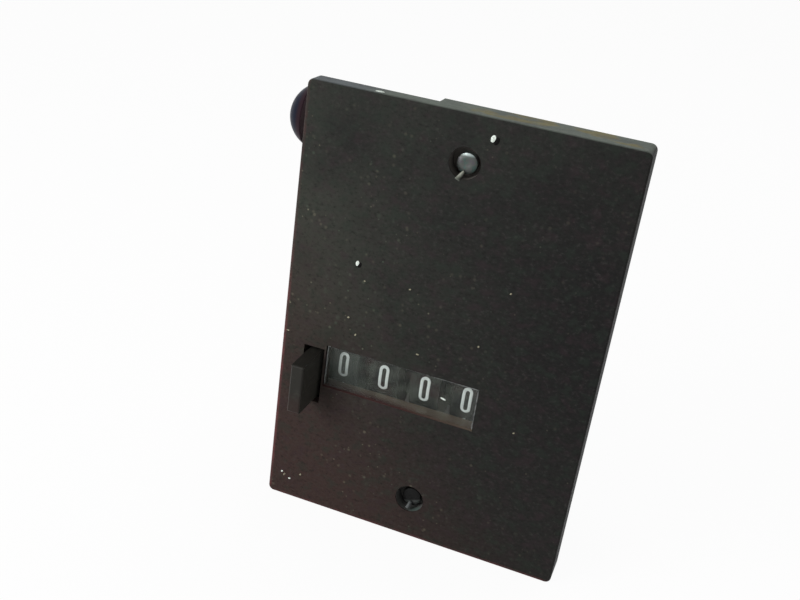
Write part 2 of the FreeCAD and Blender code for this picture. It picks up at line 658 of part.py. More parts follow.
def wheel_shaft():
    end = f"({RIGHT_OUT} + shaft_tail)"
    bar = rod("shaft_rod", TO_RIGHT, GEAR_OUT, WHEEL_Y, WHEEL_Z, "shaft_radius", f"{end} - {GEAR_OUT}")
    half = "groove_width / 2"
    bottom = f"({WHEEL_Z} + shaft_radius - groove_depth)"
    groove_y = (f"({WHEEL_Y} - {half})", f"({WHEEL_Y} + {half})")
    groove = block("shaft_groove", (LEFT_IN, RIGHT_IN), groove_y, (bottom, f"({bottom} + shaft_radius)"))
    clip_x = f"({RIGHT_OUT} + 2 * running_gap)"
    spot, bite = (clip_x, WHEEL_Y, WHEEL_Z), "shaft_radius - clip_bite"
    seat = ring("clip_seat", TO_RIGHT, *spot, bite, "2 * shaft_radius", "clip_wall")
    piece(cut("shaft", bar, groove, seat), "wheel_shaft")
    clip = ring("shaft_ring", TO_RIGHT, *spot, f"{bite} + press_gap", "shaft_radius + clip_rim", "clip_wall")
    mouth_y = (f"({WHEEL_Y} - shaft_radius / 2)", f"({WHEEL_Y} + shaft_radius / 2)")
    mouth_z = (f"({WHEEL_Z} - shaft_radius - clip_rim)", WHEEL_Z)
    mouth = block("clip_mouth", (clip_x, f"({clip_x} + clip_wall)"), mouth_y, mouth_z)
    piece(cut("shaft_c_clip", clip, mouth), "shaft_clip")


def reset_gears():
    """Rack, idler and shaft pinion: the full push turns the wheel shaft once."""
    idler_phase = "(180 - mesh_angle)"
    pinion_phase = "(360 - mesh_angle + 180 / pinion_teeth)"
    size = ("pinion_teeth", "gear_width", pinion_phase, "shaft_radius + press_gap")
    piece(toothed_wheel("pinion", GEAR_OUT, WHEEL_Y, WHEEL_Z, *size), "shaft_pinion")
    middle, bore = (IDLER_Y, IDLER_Z), "stud_radius + running_gap"
    large = toothed_wheel("large_gear", GEAR_OUT, *middle, "gear_teeth", "gear_width", idler_phase, bore)
    size = ("pinion_teeth", f"{GEAR_OUT} - {TAB_OUT}", "(-90)", bore)
    piece(join("idler", large, toothed_wheel("small_gear", TAB_OUT, *middle, *size)), "idler_gear")
    head_x = f"({TAB_OUT} - fit_gap)"
    size = ("stud_radius", f"{LEFT_IN} - {head_x}", "stud_head", "small_head_height / 2")
    piece(screw("stud", TO_RIGHT, head_x, *middle, *size), "idler_stud")


def reset_bar():
    """The push tab, the rack behind it and the slotted web that keeps it level."""
    lower, upper = f"({RACK_ROOT} - limb_height)", f"({IDLER_Z} + {PINION_TIP} + yoke_gap)"
    corners = [
        (FRONT, TAB_LOW), (FRONT, TAB_HIGH), (BAR_FRONT, TAB_HIGH), (BAR_FRONT, BAR_HIGH),
        (BAR_BACK, BAR_HIGH), (BAR_BACK, upper), (YOKE_FRONT, upper), (YOKE_FRONT, RACK_ROOT),
        (BAR_BACK, RACK_ROOT), (BAR_BACK, lower), (BAR_FRONT, lower), (BAR_FRONT, TAB_LOW),
    ]
    web = f"({RACK_IN} - {TAB_OUT})"
    flat = plate("bar_flat", TO_RIGHT, TAB_OUT, "0", "0", corners, web)
    drawing = sketch(flat, "rack_tooth")
    half_root, half_tip = "(0.9 * gear_module)", "(0.3 * gear_module)"
    middle = f"({IDLER_Y} + {RACK_PITCH} / 2)"
    crest, sunk = f"({RACK_Z} + gear_addendum)", f"({RACK_ROOT} - limb_height / 4)"
    outline(drawing, [
        (f"{middle} - {half_root}", sunk), (f"{middle} + {half_root}", sunk),
        (f"{middle} + {half_tip}", crest), (f"{middle} - {half_tip}", crest),
    ])
    tooth = shaped(flat, "Pad", "rack_one", drawing, Length=web)
    doc.recompute()
    rack = flat.newObject("PartDesign::LinearPattern", "rack_teeth")
    rack.Originals = [tooth]
    rack.Direction = (drawing, ["H_Axis"])
    rack.Reversed = True
    bind(rack, Length=f"{RACK_PITCH} * 4", Occurrences="5")
    flat.Tip = rack
    tip = f"({FRONT} - tab_reach)"
    tab_corners = [(tip, TAB_LOW), (tip, TAB_HIGH), (TAB_ROOT, TAB_HIGH), (TAB_ROOT, TAB_LOW)]
    tab = plate("tab_body", TO_RIGHT, TAB_OUT, "0", "0", tab_corners, "tab_width")
    doc.recompute()
    round_edges(tab, "tab_rounding", "tab_edge", lambda edge: edge.YMax < tab.Shape.BoundBox.YMin + 0.01)
    lug_front = f"({BAR_FRONT} + bar_gap)"
    lug_y = (lug_front, f"({lug_front} + lug_wall)")
    lug_x = (f"({SPRING_X} - lug_half)", f"({SPRING_X} + lug_half)")
    lug = block("spring_lug", lug_x, lug_y, (f"({BAR_HIGH} - fit_gap)", f"({SPRING_Z} + lug_half)"))
    slot_reach = (f"({BAR_GUIDE_BACK} - {BAR_GUIDE_FRONT} + {RESET_STROKE})", "0")
    slot_start = f"{BAR_GUIDE_FRONT} - {RESET_STROKE}"
    slot_place = (f"{TAB_OUT} - tab_width", slot_start, BAR_GUIDE_Z)
    travel = long_hole("bar_slot", TO_RIGHT, *slot_place, slot_reach, "guide_radius + running_gap", "3 * tab_width")
    rod_hole = rod("lug_hole", TO_BACK, SPRING_X, lug_y[0], SPRING_Z, "rod_thin + running_gap", "lug_wall")
    solid = join("bar_solid", flat, tab, lug)
    doc.recompute()
    piece(cut("bar", solid, travel, rod_hole), "reset_bar")


def reset_bar_guides():
    head = f"({TAB_OUT} - fit_gap)"
    pins = []
    for name, y in (("front", BAR_GUIDE_FRONT), ("back", BAR_GUIDE_BACK)):
        size = ("guide_radius", f"{LEFT_IN} - {head}", "guide_head", "small_head_height * 0.75")
        pins.append(screw(f"{name}_bar_guide", TO_RIGHT, head, y, BAR_GUIDE_Z, *size))
    piece(group("bar_guides", *pins), "reset_guides")
    start = f"({BAR_FRONT} + bar_gap + lug_wall + running_gap)"
    size = ("reset_coil_radius", "reset_wire", "reset_coils", f"({ANCHOR_Y} - running_gap - {start})")
    piece(coil("return_coil", TO_BACK, SPRING_X, start, SPRING_Z, *size), "reset_spring")
    rod_start = f"({FACE_IN} + bar_gap / 2)"
    rod_length = f"{ANCHOR_Y} + anchor_wall - {rod_start}"
    piece(rod("guide_rod", TO_BACK, SPRING_X, rod_start, SPRING_Z, "rod_thin", rod_length), "spring_rod")


def feet_places():
    """Width and lower edge of each foot, by name."""
    left, right = (LEFT_IN, f"({LEFT_IN} + foot_length)"), (f"({RIGHT_IN} - foot_length)", RIGHT_IN)
    levels = (("low", PLATE_LOW), ("high", GUIDE_LOW))
    return [(side, level, x, z) for side, x in (("left", left), ("right", right)) for level, z in levels]


def side_plates():
    """The two plates that carry the wheel shaft, each with two feet bent inward at the back."""
    profile = [(y, z) for y, z in ((FRAME_FRONT, PLATE_LOW), (FRAME_BACK, PLATE_LOW), (FRAME_BACK, PLATE_HIGH))]
    profile.append((FRAME_FRONT, PLATE_HIGH))
    for side, start in (("left", LEFT_OUT), ("right", RIGHT_IN)):
        flat = plate(f"{side}_flat", TO_RIGHT, start, "0", "0", profile, "plate_wall")
        extras, holes = [], []
        foot_y = (f"({FRAME_BACK} - plate_wall)", FRAME_BACK)
        for _, level, x, z in [foot for foot in feet_places() if foot[0] == side]:
            extras.append(block(f"{side}_{level}_foot", x, foot_y, (z, f"({z} + foot_height)")))
            spot = (f"(({x[0]} + {x[1]}) / 2)", foot_y[0], f"{z} + foot_height / 2")
            holes.append(rod(f"{side}_{level}_foot_hole", TO_BACK, *spot, "small_screw + shank_gap", "plate_wall"))
        bores = [("shaft", WHEEL_Y, WHEEL_Z, "shaft_radius + running_gap")]
        bores += [(*tenon, "rod_tenon + press_gap") for tenon in (*tie_rod_places(), DETENT_TENON)]
        for k, spot in enumerate(bridge_screw_places()):
            bores.append((f"bridge_{k}", *spot, "small_screw + shank_gap"))
        if side == "left":
            bores.append(("stud", IDLER_Y, IDLER_Z, "stud_radius + press_gap"))
            bores.append(("front", BAR_GUIDE_FRONT, BAR_GUIDE_Z, "guide_radius + press_gap"))
            bores.append(("back", BAR_GUIDE_BACK, BAR_GUIDE_Z, "guide_radius + press_gap"))
            anchor_x, anchor_y = (f"({SPRING_X} - lug_half)", LEFT_OUT), (ANCHOR_Y, f"({ANCHOR_Y} + anchor_wall)")
            anchor_z = (f"({SPRING_Z} - lug_half)", f"({SPRING_Z} + lug_half)")
            extras.append(block("spring_anchor", anchor_x, anchor_y, anchor_z))
            size = ("rod_thin + press_gap", "anchor_wall")
            holes.append(rod("anchor_hole", TO_BACK, SPRING_X, ANCHOR_Y, SPRING_Z, *size))
        for name, y, z, radius in bores:
            holes.append(rod(f"{side}_{name}_hole", TO_RIGHT, start, y, z, radius, "plate_wall"))
        piece(cut(f"{side}_plate", join(f"{side}_solid", flat, *extras), *holes), f"frame_{side}_plate")


def tie_rod_places():
    return (
        ("upper_rod", f"({FRAME_FRONT} + rod_radius + rod_lip)", f"({BRIDGE_LOW} - rod_radius)"),
        ("rear_rod", f"({FRAME_BACK} - rod_radius - rod_lip)", f"({PLATE_LOW} + foot_height + rod_radius)"),
    )


def bridge_screw_places():
    middle = f"({BRIDGE_BACK} + bridge_flange / 2)"
    return ((middle, f"({BRIDGE_LOW} + bridge_inset)"), (middle, f"({PLATE_HIGH} - bridge_inset)"))


def frame_ties():
    rods = []
    for name, y, z in tie_rod_places():
        tenon = rod(f"{name}_tenon", TO_RIGHT, LEFT_OUT, y, z, "rod_tenon", f"{RIGHT_OUT} - {LEFT_OUT}")
        barrel = rod(f"{name}_barrel", TO_RIGHT, LEFT_IN, y, z, "rod_radius", f"{RIGHT_IN} - {LEFT_IN}")
        rods.append(join(name, barrel, tenon))
    piece(group("rods", *rods), "tie_rods")
    screws = []
    for side, level, x, z in feet_places():
        spot = (f"(({x[0]} + {x[1]}) / 2)", f"({FRAME_BACK} - plate_wall)", f"({z} + foot_height / 2)")
        size = ("small_screw", "plate_wall + shell_wall + shell_wall / 4", "small_head", "small_head_height")
        screws.append(screw(f"{side}_{level}_screw", TO_BACK, *spot, *size))
    piece(group("feet_screws", *screws), "frame_screws")


def frame_bridge():
    """The channel between the side plates on which the count slide and the pusher run."""
    z = (BRIDGE_LOW, PLATE_HIGH)
    web = block("bridge_web", (LEFT_IN, RIGHT_IN), (BRIDGE_FRONT, BRIDGE_BACK), z)
    flange_y = (BRIDGE_BACK, f"({BRIDGE_BACK} + bridge_flange)")
    flanges = [
        block("left_flange", (LEFT_IN, f"({LEFT_IN} + plate_wall)"), flange_y, z),
        block("right_flange", (f"({RIGHT_IN} - plate_wall)", RIGHT_IN), flange_y, z),
    ]
    cam_size = (("0", "count_stroke"), "pin_radius * 1.4", "bridge_wall")
    pin_size = ("guide_radius + press_gap", "bridge_wall")
    holes = [long_hole("cam_room", TO_BACK, PUSHER_X, BRIDGE_FRONT, CAM_Z, *cam_size)]
    holes.append(rod("slide_guide_hole", TO_BACK, SLIDE_GUIDE_X, BRIDGE_FRONT, SLIDE_GUIDE_Z, *pin_size))
    slide_head, pusher_head = f"({SLIDE_BACK} - slide_wall - fit_gap)", f"({PUSHER_BACK} + fit_gap)"
    head = ("guide_head", "guide_head_wall")
    slide_pin = ("guide_radius", f"{BRIDGE_BACK} - {slide_head}", *head)
    pins = [screw("slide_guide", TO_BACK, SLIDE_GUIDE_X, slide_head, SLIDE_GUIDE_Z, *slide_pin)]
    for name, z_place in (("low", GUIDE_LOW), ("high", GUIDE_HIGH)):
        holes.append(rod(f"{name}_guide_hole", TO_BACK, PUSHER_X, BRIDGE_FRONT, z_place, *pin_size))
        size = ("guide_radius", f"{pusher_head} - {BRIDGE_FRONT}", *head)
        pins.append(screw(f"{name}_pusher_guide", TO_FRONT, PUSHER_X, pusher_head, z_place, *size))
    screws = []
    to_left = TO_RIGHT.multiply(FreeCAD.Rotation(FreeCAD.Vector(1, 0, 0), 180))
    sides = (("left", LEFT_OUT, TO_RIGHT, LEFT_IN), ("right", RIGHT_OUT, to_left, f"({RIGHT_IN} - plate_wall)"))
    for k, (y, z_place) in enumerate(bridge_screw_places()):
        for side, x, turn, inner in sides:
            spot = (inner, y, z_place)
            holes.append(rod(f"{side}_bridge_hole_{k}", TO_RIGHT, *spot, "small_screw + shank_gap", "plate_wall"))
            size = ("small_screw", "4 * plate_wall", "small_head", "small_head_height")
            screws.append(screw(f"{side}_bridge_screw_{k}", turn, x, y, z_place, *size))
    piece(cut("bridge", join("bridge_solid", web, *flanges), *holes), "frame_bridge")
    piece(group("channel_screws", *screws), "bridge_screws")
    piece(group("guides", *pins), "guide_pins")


def count_button():
    """The domed cap, its stem with a fork for the count slide, and the clip that stops it."""
    dome = bind(doc.addObject("Part::Sphere", "dome_ball"), Radius="dome_radius")
    place(dome, f"{DOME_TIP} + dome_radius", BUTTON_Y, BUTTON_Z)
    face = rod("dome_face", TO_RIGHT, DOME_TIP, BUTTON_Y, BUTTON_Z, "2 * dome_radius", "dome_height")
    cap = doc.addObject("Part::Common", "dome")
    cap.Base = dome
    cap.Tool = face
    start = f"({DOME_BACK} - cap_recess)"
    recess = rod("cap_pocket", TO_RIGHT, start, BUTTON_Y, BUTTON_Z, "recess_radius", "cap_recess")
    piece(cut("cap", cap, recess), "count_button")
    bar = rod("stem_rod", TO_RIGHT, start, BUTTON_Y, BUTTON_Z, "stem_radius", f"{STEM_END} - {start}")
    half = "(slide_wall / 2 + press_gap)"
    low, high = f"({BUTTON_Z} - stem_radius)", f"({BUTTON_Z} + stem_radius)"
    fork_y = (f"({BUTTON_Y} - {half})", f"({BUTTON_Y} + {half})")
    slot = block("stem_fork", (f"({STEM_END} - stem_slot)", STEM_END), fork_y, (low, high))
    pin_spot = (f"({STEM_END} - stem_slot / 2)", f"{BUTTON_Y} - stem_radius", BUTTON_Z)
    hole = rod("stem_pin_hole", TO_BACK, *pin_spot, "pin_radius / 2 + press_gap", "2 * stem_radius")
    clip_spot = (STEM_CLIP_X, BUTTON_Y, BUTTON_Z)
    seat = ring("stem_groove", TO_RIGHT, *clip_spot, "stem_radius - clip_bite", "2 * stem_radius", "clip_wall")
    piece(cut("stem", bar, slot, hole, seat), "button_stem")
    clip_size = ("stem_radius - clip_bite + press_gap", "stem_radius + clip_rim", "clip_wall")
    clip = ring("stem_ring", TO_RIGHT, *clip_spot, *clip_size)
    mouth_x = (STEM_CLIP_X, f"({STEM_CLIP_X} + clip_wall)")
    mouth_y = (f"({BUTTON_Y} - stem_radius / 2)", f"({BUTTON_Y} + stem_radius / 2)")
    mouth = block("stem_mouth", mouth_x, mouth_y, (f"({low} - clip_rim)", BUTTON_Z))
    piece(cut("stem_c_clip", clip, mouth), "stem_clip")
    piece(rod("stem_pin", TO_BACK, *pin_spot, "pin_radius / 2", "2 * stem_radius"), "slide_pin")


def button_bushing():
    spot, length = (BUSHING_FRONT, BUTTON_Y, BUTTON_Z), f"{BUSHING_END} - {BUSHING_FRONT}"
    barrel = rod("bushing_barrel", TO_RIGHT, *spot, "bushing_radius", length)
    flange = rod("bushing_flange", TO_RIGHT, *spot, "flange_radius", "flange_wall - running_gap")
    bore = rod("bushing_bore", TO_RIGHT, *spot, "stem_radius + running_gap", length)
    recess = rod("bushing_pocket", TO_RIGHT, *spot, "recess_radius", "bushing_recess")
    piece(cut("bushing", join("bushing_solid", barrel, flange), bore, recess), "button_bushing")
    nut = bind(doc.addObject("Part::Prism", "nut_blank"), Circumradius="nut_radius", Height="nut_wall")
    nut.Polygon = 6
    nut_spot = (f"({LEFT_WALL_IN} + running_gap)", BUTTON_Y, BUTTON_Z)
    place(nut, *nut_spot, TO_RIGHT)
    thread = rod("nut_bore", TO_RIGHT, *nut_spot, "bushing_radius + press_gap", "nut_wall")
    piece(cut("nut", nut, thread), "bushing_nut")
    start = f"({DOME_BACK} - cap_recess + running_gap)"
    end = f"({BUSHING_FRONT} + bushing_recess - running_gap)"
    size = ("coil_radius", "button_wire", "button_coils", f"({end} - {start})")
    piece(coil("button_coil", TO_RIGHT, start, BUTTON_Y, BUTTON_Z, *size), "button_spring")


def count_slide():
    """The plate on the stem; its 45 degree slot turns the push into the pusher's stroke."""
    left, top = f"({STEM_END} - stem_slot + fit_gap)", f"({BUTTON_Z} + stem_radius)"
    under_stem, floor = f"({BUTTON_Z} - stem_radius)", f"({CAM_Z} - count_stroke - pin_radius - slide_lip)"
    right, shoulder = f"({PUSHER_X} + pin_radius + slide_lip)", f"({CAM_Z} + pin_radius + slide_lip)"
    neck = "(-post_radius - count_stroke - neck_gap)"
    lower_left = f"({SLIDE_GUIDE_X} - count_stroke - guide_radius - slide_lip)"
    corners = [
        (left, under_stem), (left, top), (neck, top), (neck, shoulder),
        (right, shoulder), (right, floor), (lower_left, floor), (lower_left, under_stem),
    ]
    flat = plate("slide_flat", TO_FRONT, "0", SLIDE_BACK, "0", corners, "slide_wall")
    front = f"{SLIDE_BACK} - slide_wall"
    guide_size = (("(-count_stroke)", "0"), "guide_radius + running_gap", "slide_wall")
    guide = long_hole("slide_guide_slot", TO_BACK, SLIDE_GUIDE_X, front, SLIDE_GUIDE_Z, *guide_size)
    cam_size = (("(-count_stroke)", "count_stroke"), "pin_radius + running_gap", "slide_wall")
    cam = long_hole("cam_slot", TO_BACK, PUSHER_X, front, CAM_Z, *cam_size)
    pin_spot = (f"({STEM_END} - stem_slot / 2)", front, BUTTON_Z)
    hole = rod("slide_pin_hole", TO_BACK, *pin_spot, "pin_radius / 2 + press_gap", "slide_wall")
    piece(cut("slide", flat, guide, cam, hole), "count_slide")


def pusher():
    """The strap that the cam drives down, with a shelf and a barrel for the pawls' pivot."""
    half = "pusher_width / 2"
    strap_x = (f"({PUSHER_X} - {half})", f"({PUSHER_X} + {half})")
    strap_z = (SHELF_LOW, f"({CAM_Z} + pin_radius + strap_lip)")
    strap = block("pusher_strap", strap_x, (PUSHER_FRONT, PUSHER_BACK), strap_z)
    spring_left = f"({comb_left()} + ear_wall + fit_gap)"
    barrel_x = (f"({spring_left} + pawl_coil_length + 2 * fit_gap)", f"({comb_right()} - ear_wall - 2 * fit_gap)")
    shelf_y = (PUSHER_FRONT, f"({PIVOT_Y} + ear_half)")
    shelf = block("pusher_shelf", (spring_left, barrel_x[1]), shelf_y, (SHELF_LOW, f"({SHELF_LOW} + shelf_wall)"))
    web_y = (f"({PIVOT_Y} - pivot_radius)", f"({PIVOT_Y} + pivot_radius)")
    web = block("pusher_web", barrel_x, web_y, (PIVOT_Z, SHELF_LOW))
    spot, length = (barrel_x[0], PIVOT_Y, PIVOT_Z), f"{barrel_x[1]} - {barrel_x[0]}"
    barrel = rod("pusher_barrel", TO_RIGHT, *spot, "barrel_radius", length)
    bore = rod("pusher_bore", TO_RIGHT, *spot, "pivot_radius + press_gap", length)
    travel = ("0", "(-(guide_spacing + count_stroke))")
    slot_size = (travel, "guide_radius + running_gap", "pusher_wall")
    guides = long_hole("pusher_slot", TO_BACK, PUSHER_X, PUSHER_FRONT, GUIDE_LOW, *slot_size)
    pin_size = ("pin_radius + press_gap", "pusher_wall")
    pin_hole = rod("cam_pin_hole", TO_BACK, PUSHER_X, PUSHER_FRONT, CAM_Z, *pin_size)
    solid = join("pusher_solid", strap, shelf, web, barrel)
    piece(cut("pusher_plate", solid, bore, guides, pin_hole), "pusher")
    pin_front = f"({SLIDE_BACK} - slide_wall - fit_gap)"
    pin_size = ("pin_radius", f"{PUSHER_BACK} - {pin_front}")
    piece(rod("cam_peg", TO_BACK, PUSHER_X, pin_front, CAM_Z, *pin_size), "cam_pin")


def pawl_pivot():
    left, right = f"({comb_left()} - 1.5 * clip_wall)", f"({comb_right()} + 1.5 * clip_wall)"
    piece(rod("pivot", TO_RIGHT, left, PIVOT_Y, PIVOT_Z, "pivot_radius", f"{right} - {left}"), "pawl_pivot")
    clips, size = [], ("pivot_radius + press_gap", "pivot_radius + small_rim", "clip_wall")
    seats = (f"({comb_left()} - fit_gap / 2 - clip_wall)", f"({comb_right()} + fit_gap / 2)")
    for name, x in zip(("left", "right"), seats):
        clips.append(ring(f"{name}_pivot_clip", TO_RIGHT, x, PIVOT_Y, PIVOT_Z, *size))
    piece(group("pivot_rings", *clips), "pivot_clips")
    start = f"({comb_left()} + ear_wall + 2 * fit_gap)"
    size = ("pawl_coil_radius", "pawl_wire", "pawl_coils", "pawl_coil_length")
    winding = coil("pawl_coil", TO_RIGHT, start, PIVOT_Y, PIVOT_Z, *size)
    leg_y, half_wire = f"({PIVOT_Y} + pawl_coil_radius)", "(pawl_wire / 2)"
    up_x, down_x = f"{start} + pawl_coil_length - {half_wire}", f"{start} + {half_wire}"
    up = rod("pawl_leg_up", UPRIGHT, up_x, leg_y, PIVOT_Z, half_wire, "shelf_gap - fit_gap")
    drop = "(comb_drop + comb_wall / 2)"
    down = rod("pawl_leg_down", UPRIGHT, down_x, leg_y, f"{PIVOT_Z} - {drop}", half_wire, drop)
    piece(join("pawl_torsion", winding, up, down), "pawl_spring")


def finger_x(index):
    """Left face of the finger that works the ratchet of one wheel."""
    return f"({LEFT_IN} + end_gap + {index} * wheel_pitch + rim_width + finger_gap)"


def comb_left():
    return f"({finger_x(0)} - finger_gap)"


def comb_right():
    return f"({finger_x(3)} + finger_width)"


def pawl_comb():
    """Four fingers on one pivot: the units claw drives, the others wait one carry step further out each."""
    plate_top, plate_bottom = f"({PIVOT_Z} - comb_drop)", f"({PIVOT_Z} - comb_drop - comb_wall)"
    claw_low = f"({WHEEL_Z} + claw_height)"
    back_top, front_top = f"({PIVOT_Y} + ear_half)", f"({PIVOT_Y} - ear_half / 4)"
    parts = []
    for index, name in enumerate(WHEELS):
        tip = f"({WHEEL_Y} + pawl_tip_radius + {3 - index} * carry_step)"
        corners = [
            (tip, claw_low), (f"({tip} + finger_depth)", claw_low), (back_top, plate_top), (front_top, plate_top),
            (f"({tip} + claw_depth)", f"({claw_low} + 1.6 * claw_depth)"),
            (f"({tip} + 0.4 * claw_depth)", f"({claw_low} + claw_depth)"),
        ]
        parts.append(plate(f"{name}_pawl", TO_RIGHT, finger_x(index), "0", "0", corners, "finger_width"))
    bar_y = (f"({PIVOT_Y} - ear_half)", f"({PIVOT_Y} + ear_half)")
    parts.append(block("comb_bar", (comb_left(), comb_right()), bar_y, (plate_bottom, plate_top)))
    bores = []
    for side, x in (("left", comb_left()), ("right", f"({comb_right()} - ear_wall)")):
        ear_z = (plate_top, f"({PIVOT_Z} + ear_half)")
        parts.append(block(f"{side}_ear", (x, f"({x} + ear_wall)"), bar_y, ear_z))
        size = ("pivot_radius + running_gap", "ear_wall")
        bores.append(rod(f"{side}_ear_bore", TO_RIGHT, x, PIVOT_Y, PIVOT_Z, *size))
    piece(cut("comb", join("comb_solid", *parts), *bores), "pawl_comb")


def detent():
    """A sprung leaf per wheel that holds it between counts and stops it from running back."""
    z = (DETENT_LOW, DETENT_HIGH)
    bar = block("detent_block", (LEFT_IN, RIGHT_IN), (DETENT_Y, f"({DETENT_Y} + detent_bar_depth)"), z)
    leaf_front = f"({DETENT_Y} - leaf_wall)"
    tip_y, tip_z = f"({WHEEL_Y} - detent_tip_y)", f"({WHEEL_Z} - detent_tip_z)"
    bend = f"({DETENT_HIGH} + 2 * leaf_wall)"
    corners = [
        (leaf_front, DETENT_LOW), (DETENT_Y, DETENT_LOW), (DETENT_Y, f"({bend} - leaf_wall)"),
        (f"({tip_y} + leaf_wall / 2)", f"({tip_z} - leaf_wall / 2)"),
        (f"({tip_y} - leaf_wall / 4)", f"({tip_z} + leaf_wall / 4)"), (leaf_front, bend),
    ]
    leaves = []
    for index, name in enumerate(WHEELS):
        leaves.append(plate(f"{name}_leaf_spring", TO_RIGHT, finger_x(index), "0", "0", corners, "finger_width"))
    strip = block("detent_strip", (comb_left(), comb_right()), (leaf_front, DETENT_Y), z)
    holes, bar_holes, screws = [], [], []
    for index in (0, 2):
        x, middle = f"({finger_x(index)} + wheel_pitch / 2)", f"(({DETENT_LOW} + {DETENT_HIGH}) / 2)"
        hole = "small_screw + shank_gap"
        holes.append(rod(f"strip_hole_{index}", TO_BACK, x, leaf_front, middle, hole, "leaf_wall"))
        bar_holes.append(rod(f"bar_hole_{index}", TO_BACK, x, DETENT_Y, middle, hole, "detent_bar_depth"))
        size = ("small_screw", "detent_bar_depth", "small_head", "small_head_height")
        screws.append(screw(f"detent_screw_{index}", TO_BACK, x, leaf_front, middle, *size))
    piece(cut("detent_leaves", join("detent_comb", strip, *leaves), *holes), "detent_spring")
    tenon = rod("detent_tenon", TO_RIGHT, LEFT_OUT, *DETENT_TENON[1:], "rod_tenon", f"{RIGHT_OUT} - {LEFT_OUT}")
    piece(cut("detent_rail", join("detent_tie", bar, tenon), *bar_holes), "detent_bar")
    piece(group("strip_screws", *screws), "detent_screws")


front_cover()
rear_shell()
case_screws()
for place_index, wheel_name in enumerate(WHEELS):
    number_wheel(place_index, wheel_name)
wheel_shaft()
reset_gears()
reset_bar()
reset_bar_guides()
side_plates()
frame_ties()
frame_bridge()
count_button()
button_bushing()
count_slide()
pusher()
pawl_pivot()
pawl_comb()
detent()

doc.recompute()
faults = [thing.Label for thing in doc.Objects if {"Invalid", "Error"} & set(thing.State)]
faults += [thing.Label for thing in pieces if thing.Shape.isNull() or not thing.Shape.isValid()]
if faults:
    raise RuntimeError(f"these did not build: {faults}")
os.makedirs("parts", exist_ok=True)
for thing in pieces:
    thing.Shape.exportStep(f"parts/{thing.Label}.step")
print(f"{len(pieces)} sub-parts written")
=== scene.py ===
"""Dresses a pocket tally counter for its portrait.

The case, the wheels, the reset bar and the mechanism keep the solids of the CAD and get their finishes here. The
window pane, the count button's dome and the case screws are modelled again, and two coil springs are copied; all
ride on the same bodies. Figures on the wheels and chips on the face are added.
"""
import math

import bmesh
import bpy
from bpy.props import FloatProperty, FloatVectorProperty, PointerProperty
from mathutils import Matrix, Vector
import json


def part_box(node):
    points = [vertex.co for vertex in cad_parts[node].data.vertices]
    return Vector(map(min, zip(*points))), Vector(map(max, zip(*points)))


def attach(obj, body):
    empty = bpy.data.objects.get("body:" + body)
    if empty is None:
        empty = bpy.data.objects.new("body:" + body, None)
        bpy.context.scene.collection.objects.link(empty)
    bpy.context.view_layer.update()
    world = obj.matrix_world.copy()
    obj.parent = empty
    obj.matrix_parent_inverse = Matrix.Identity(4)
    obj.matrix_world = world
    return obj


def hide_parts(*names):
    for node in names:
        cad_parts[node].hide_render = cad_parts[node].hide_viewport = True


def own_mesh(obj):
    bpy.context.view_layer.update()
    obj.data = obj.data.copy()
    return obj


bl_info = {
    "name": "Tally Counter Portrait",
    "version": (1, 0, 0),
    "blender": (4, 5, 0),
    "location": "3D View > Sidebar > Tally",
    "description": "Finishes and fine pieces of a four-figure tally counter",
    "category": "Object",
}

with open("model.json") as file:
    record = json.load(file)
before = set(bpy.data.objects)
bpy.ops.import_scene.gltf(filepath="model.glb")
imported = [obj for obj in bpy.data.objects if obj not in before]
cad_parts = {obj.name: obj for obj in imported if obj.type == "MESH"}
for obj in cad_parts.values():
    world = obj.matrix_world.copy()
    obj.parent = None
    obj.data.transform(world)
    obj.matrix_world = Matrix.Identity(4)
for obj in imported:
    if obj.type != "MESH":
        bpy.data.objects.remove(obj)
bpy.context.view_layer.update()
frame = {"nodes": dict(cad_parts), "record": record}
MM = 0.001
RIGHT, BACK, UP = (1, 0, 0), (0, 1, 0), (0, 0, 1)

COVER_LOW, COVER_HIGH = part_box("front_cover")
PANE_LOW, PANE_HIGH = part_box("window_lens")
DOME_LOW, DOME_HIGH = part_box("count_button")
SCREW_LOW, SCREW_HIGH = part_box("case_screws")
FACE = COVER_LOW.y

# The case screws: radius of their heads, their heights, and the height halfway between them
SCREW_HEAD = (SCREW_HIGH.x - SCREW_LOW.x) / 2
LOWER_SCREW, UPPER_SCREW = SCREW_LOW.z + SCREW_HEAD, SCREW_HIGH.z - SCREW_HEAD
HALFWAY = (LOWER_SCREW + UPPER_SCREW) / 2

# The screw holes in the face: radius, depth, and how far their middles are above their screws
HOLE, HOLE_DEPTH, HOLE_RISE = 2.5 * MM, 2.6 * MM, 0.35 * MM
LOWER_HOLE, UPPER_HOLE = LOWER_SCREW + HOLE_RISE, UPPER_SCREW + HOLE_RISE

# The wheels from the left, how far each one's figures stand above true, and how wide the rims are that carry them
WHEELS = {"thousands": -0.15 * MM, "hundreds": -0.38 * MM, "tens": -0.28 * MM, "units": -0.05 * MM}
WHEEL_RIM = 5.2 * MM

# The camera stands where the corners of the photographed face put it: place, turn in degrees, lens in millimetres
CAMERA_SPOT = (35.908 * MM, -154.116 * MM, 109.705 * MM)
CAMERA_TURN = (65.595, -7.6306, 20.224)
CAMERA_LENS, CAMERA_SENSOR = 46.0125, 36

# The lamps' places and sides, and what they shine at
KEY_SPOT, KEY_SIDE = Vector((-0.24, -0.29, 0.15)), 0.20
TOP_SPOT, TOP_SIDE = Vector((0.05, 0.20, 0.60)), 0.45
LAMPS_AIM = Vector((0, 0, 0.04))

# The floor's half width, and how far it lies below the counter's foot
FLOOR_REACH, FLOOR_GAP = 3, 0.05 * MM


# ---------------------------------------------------------------- sizes and colours that a user would change


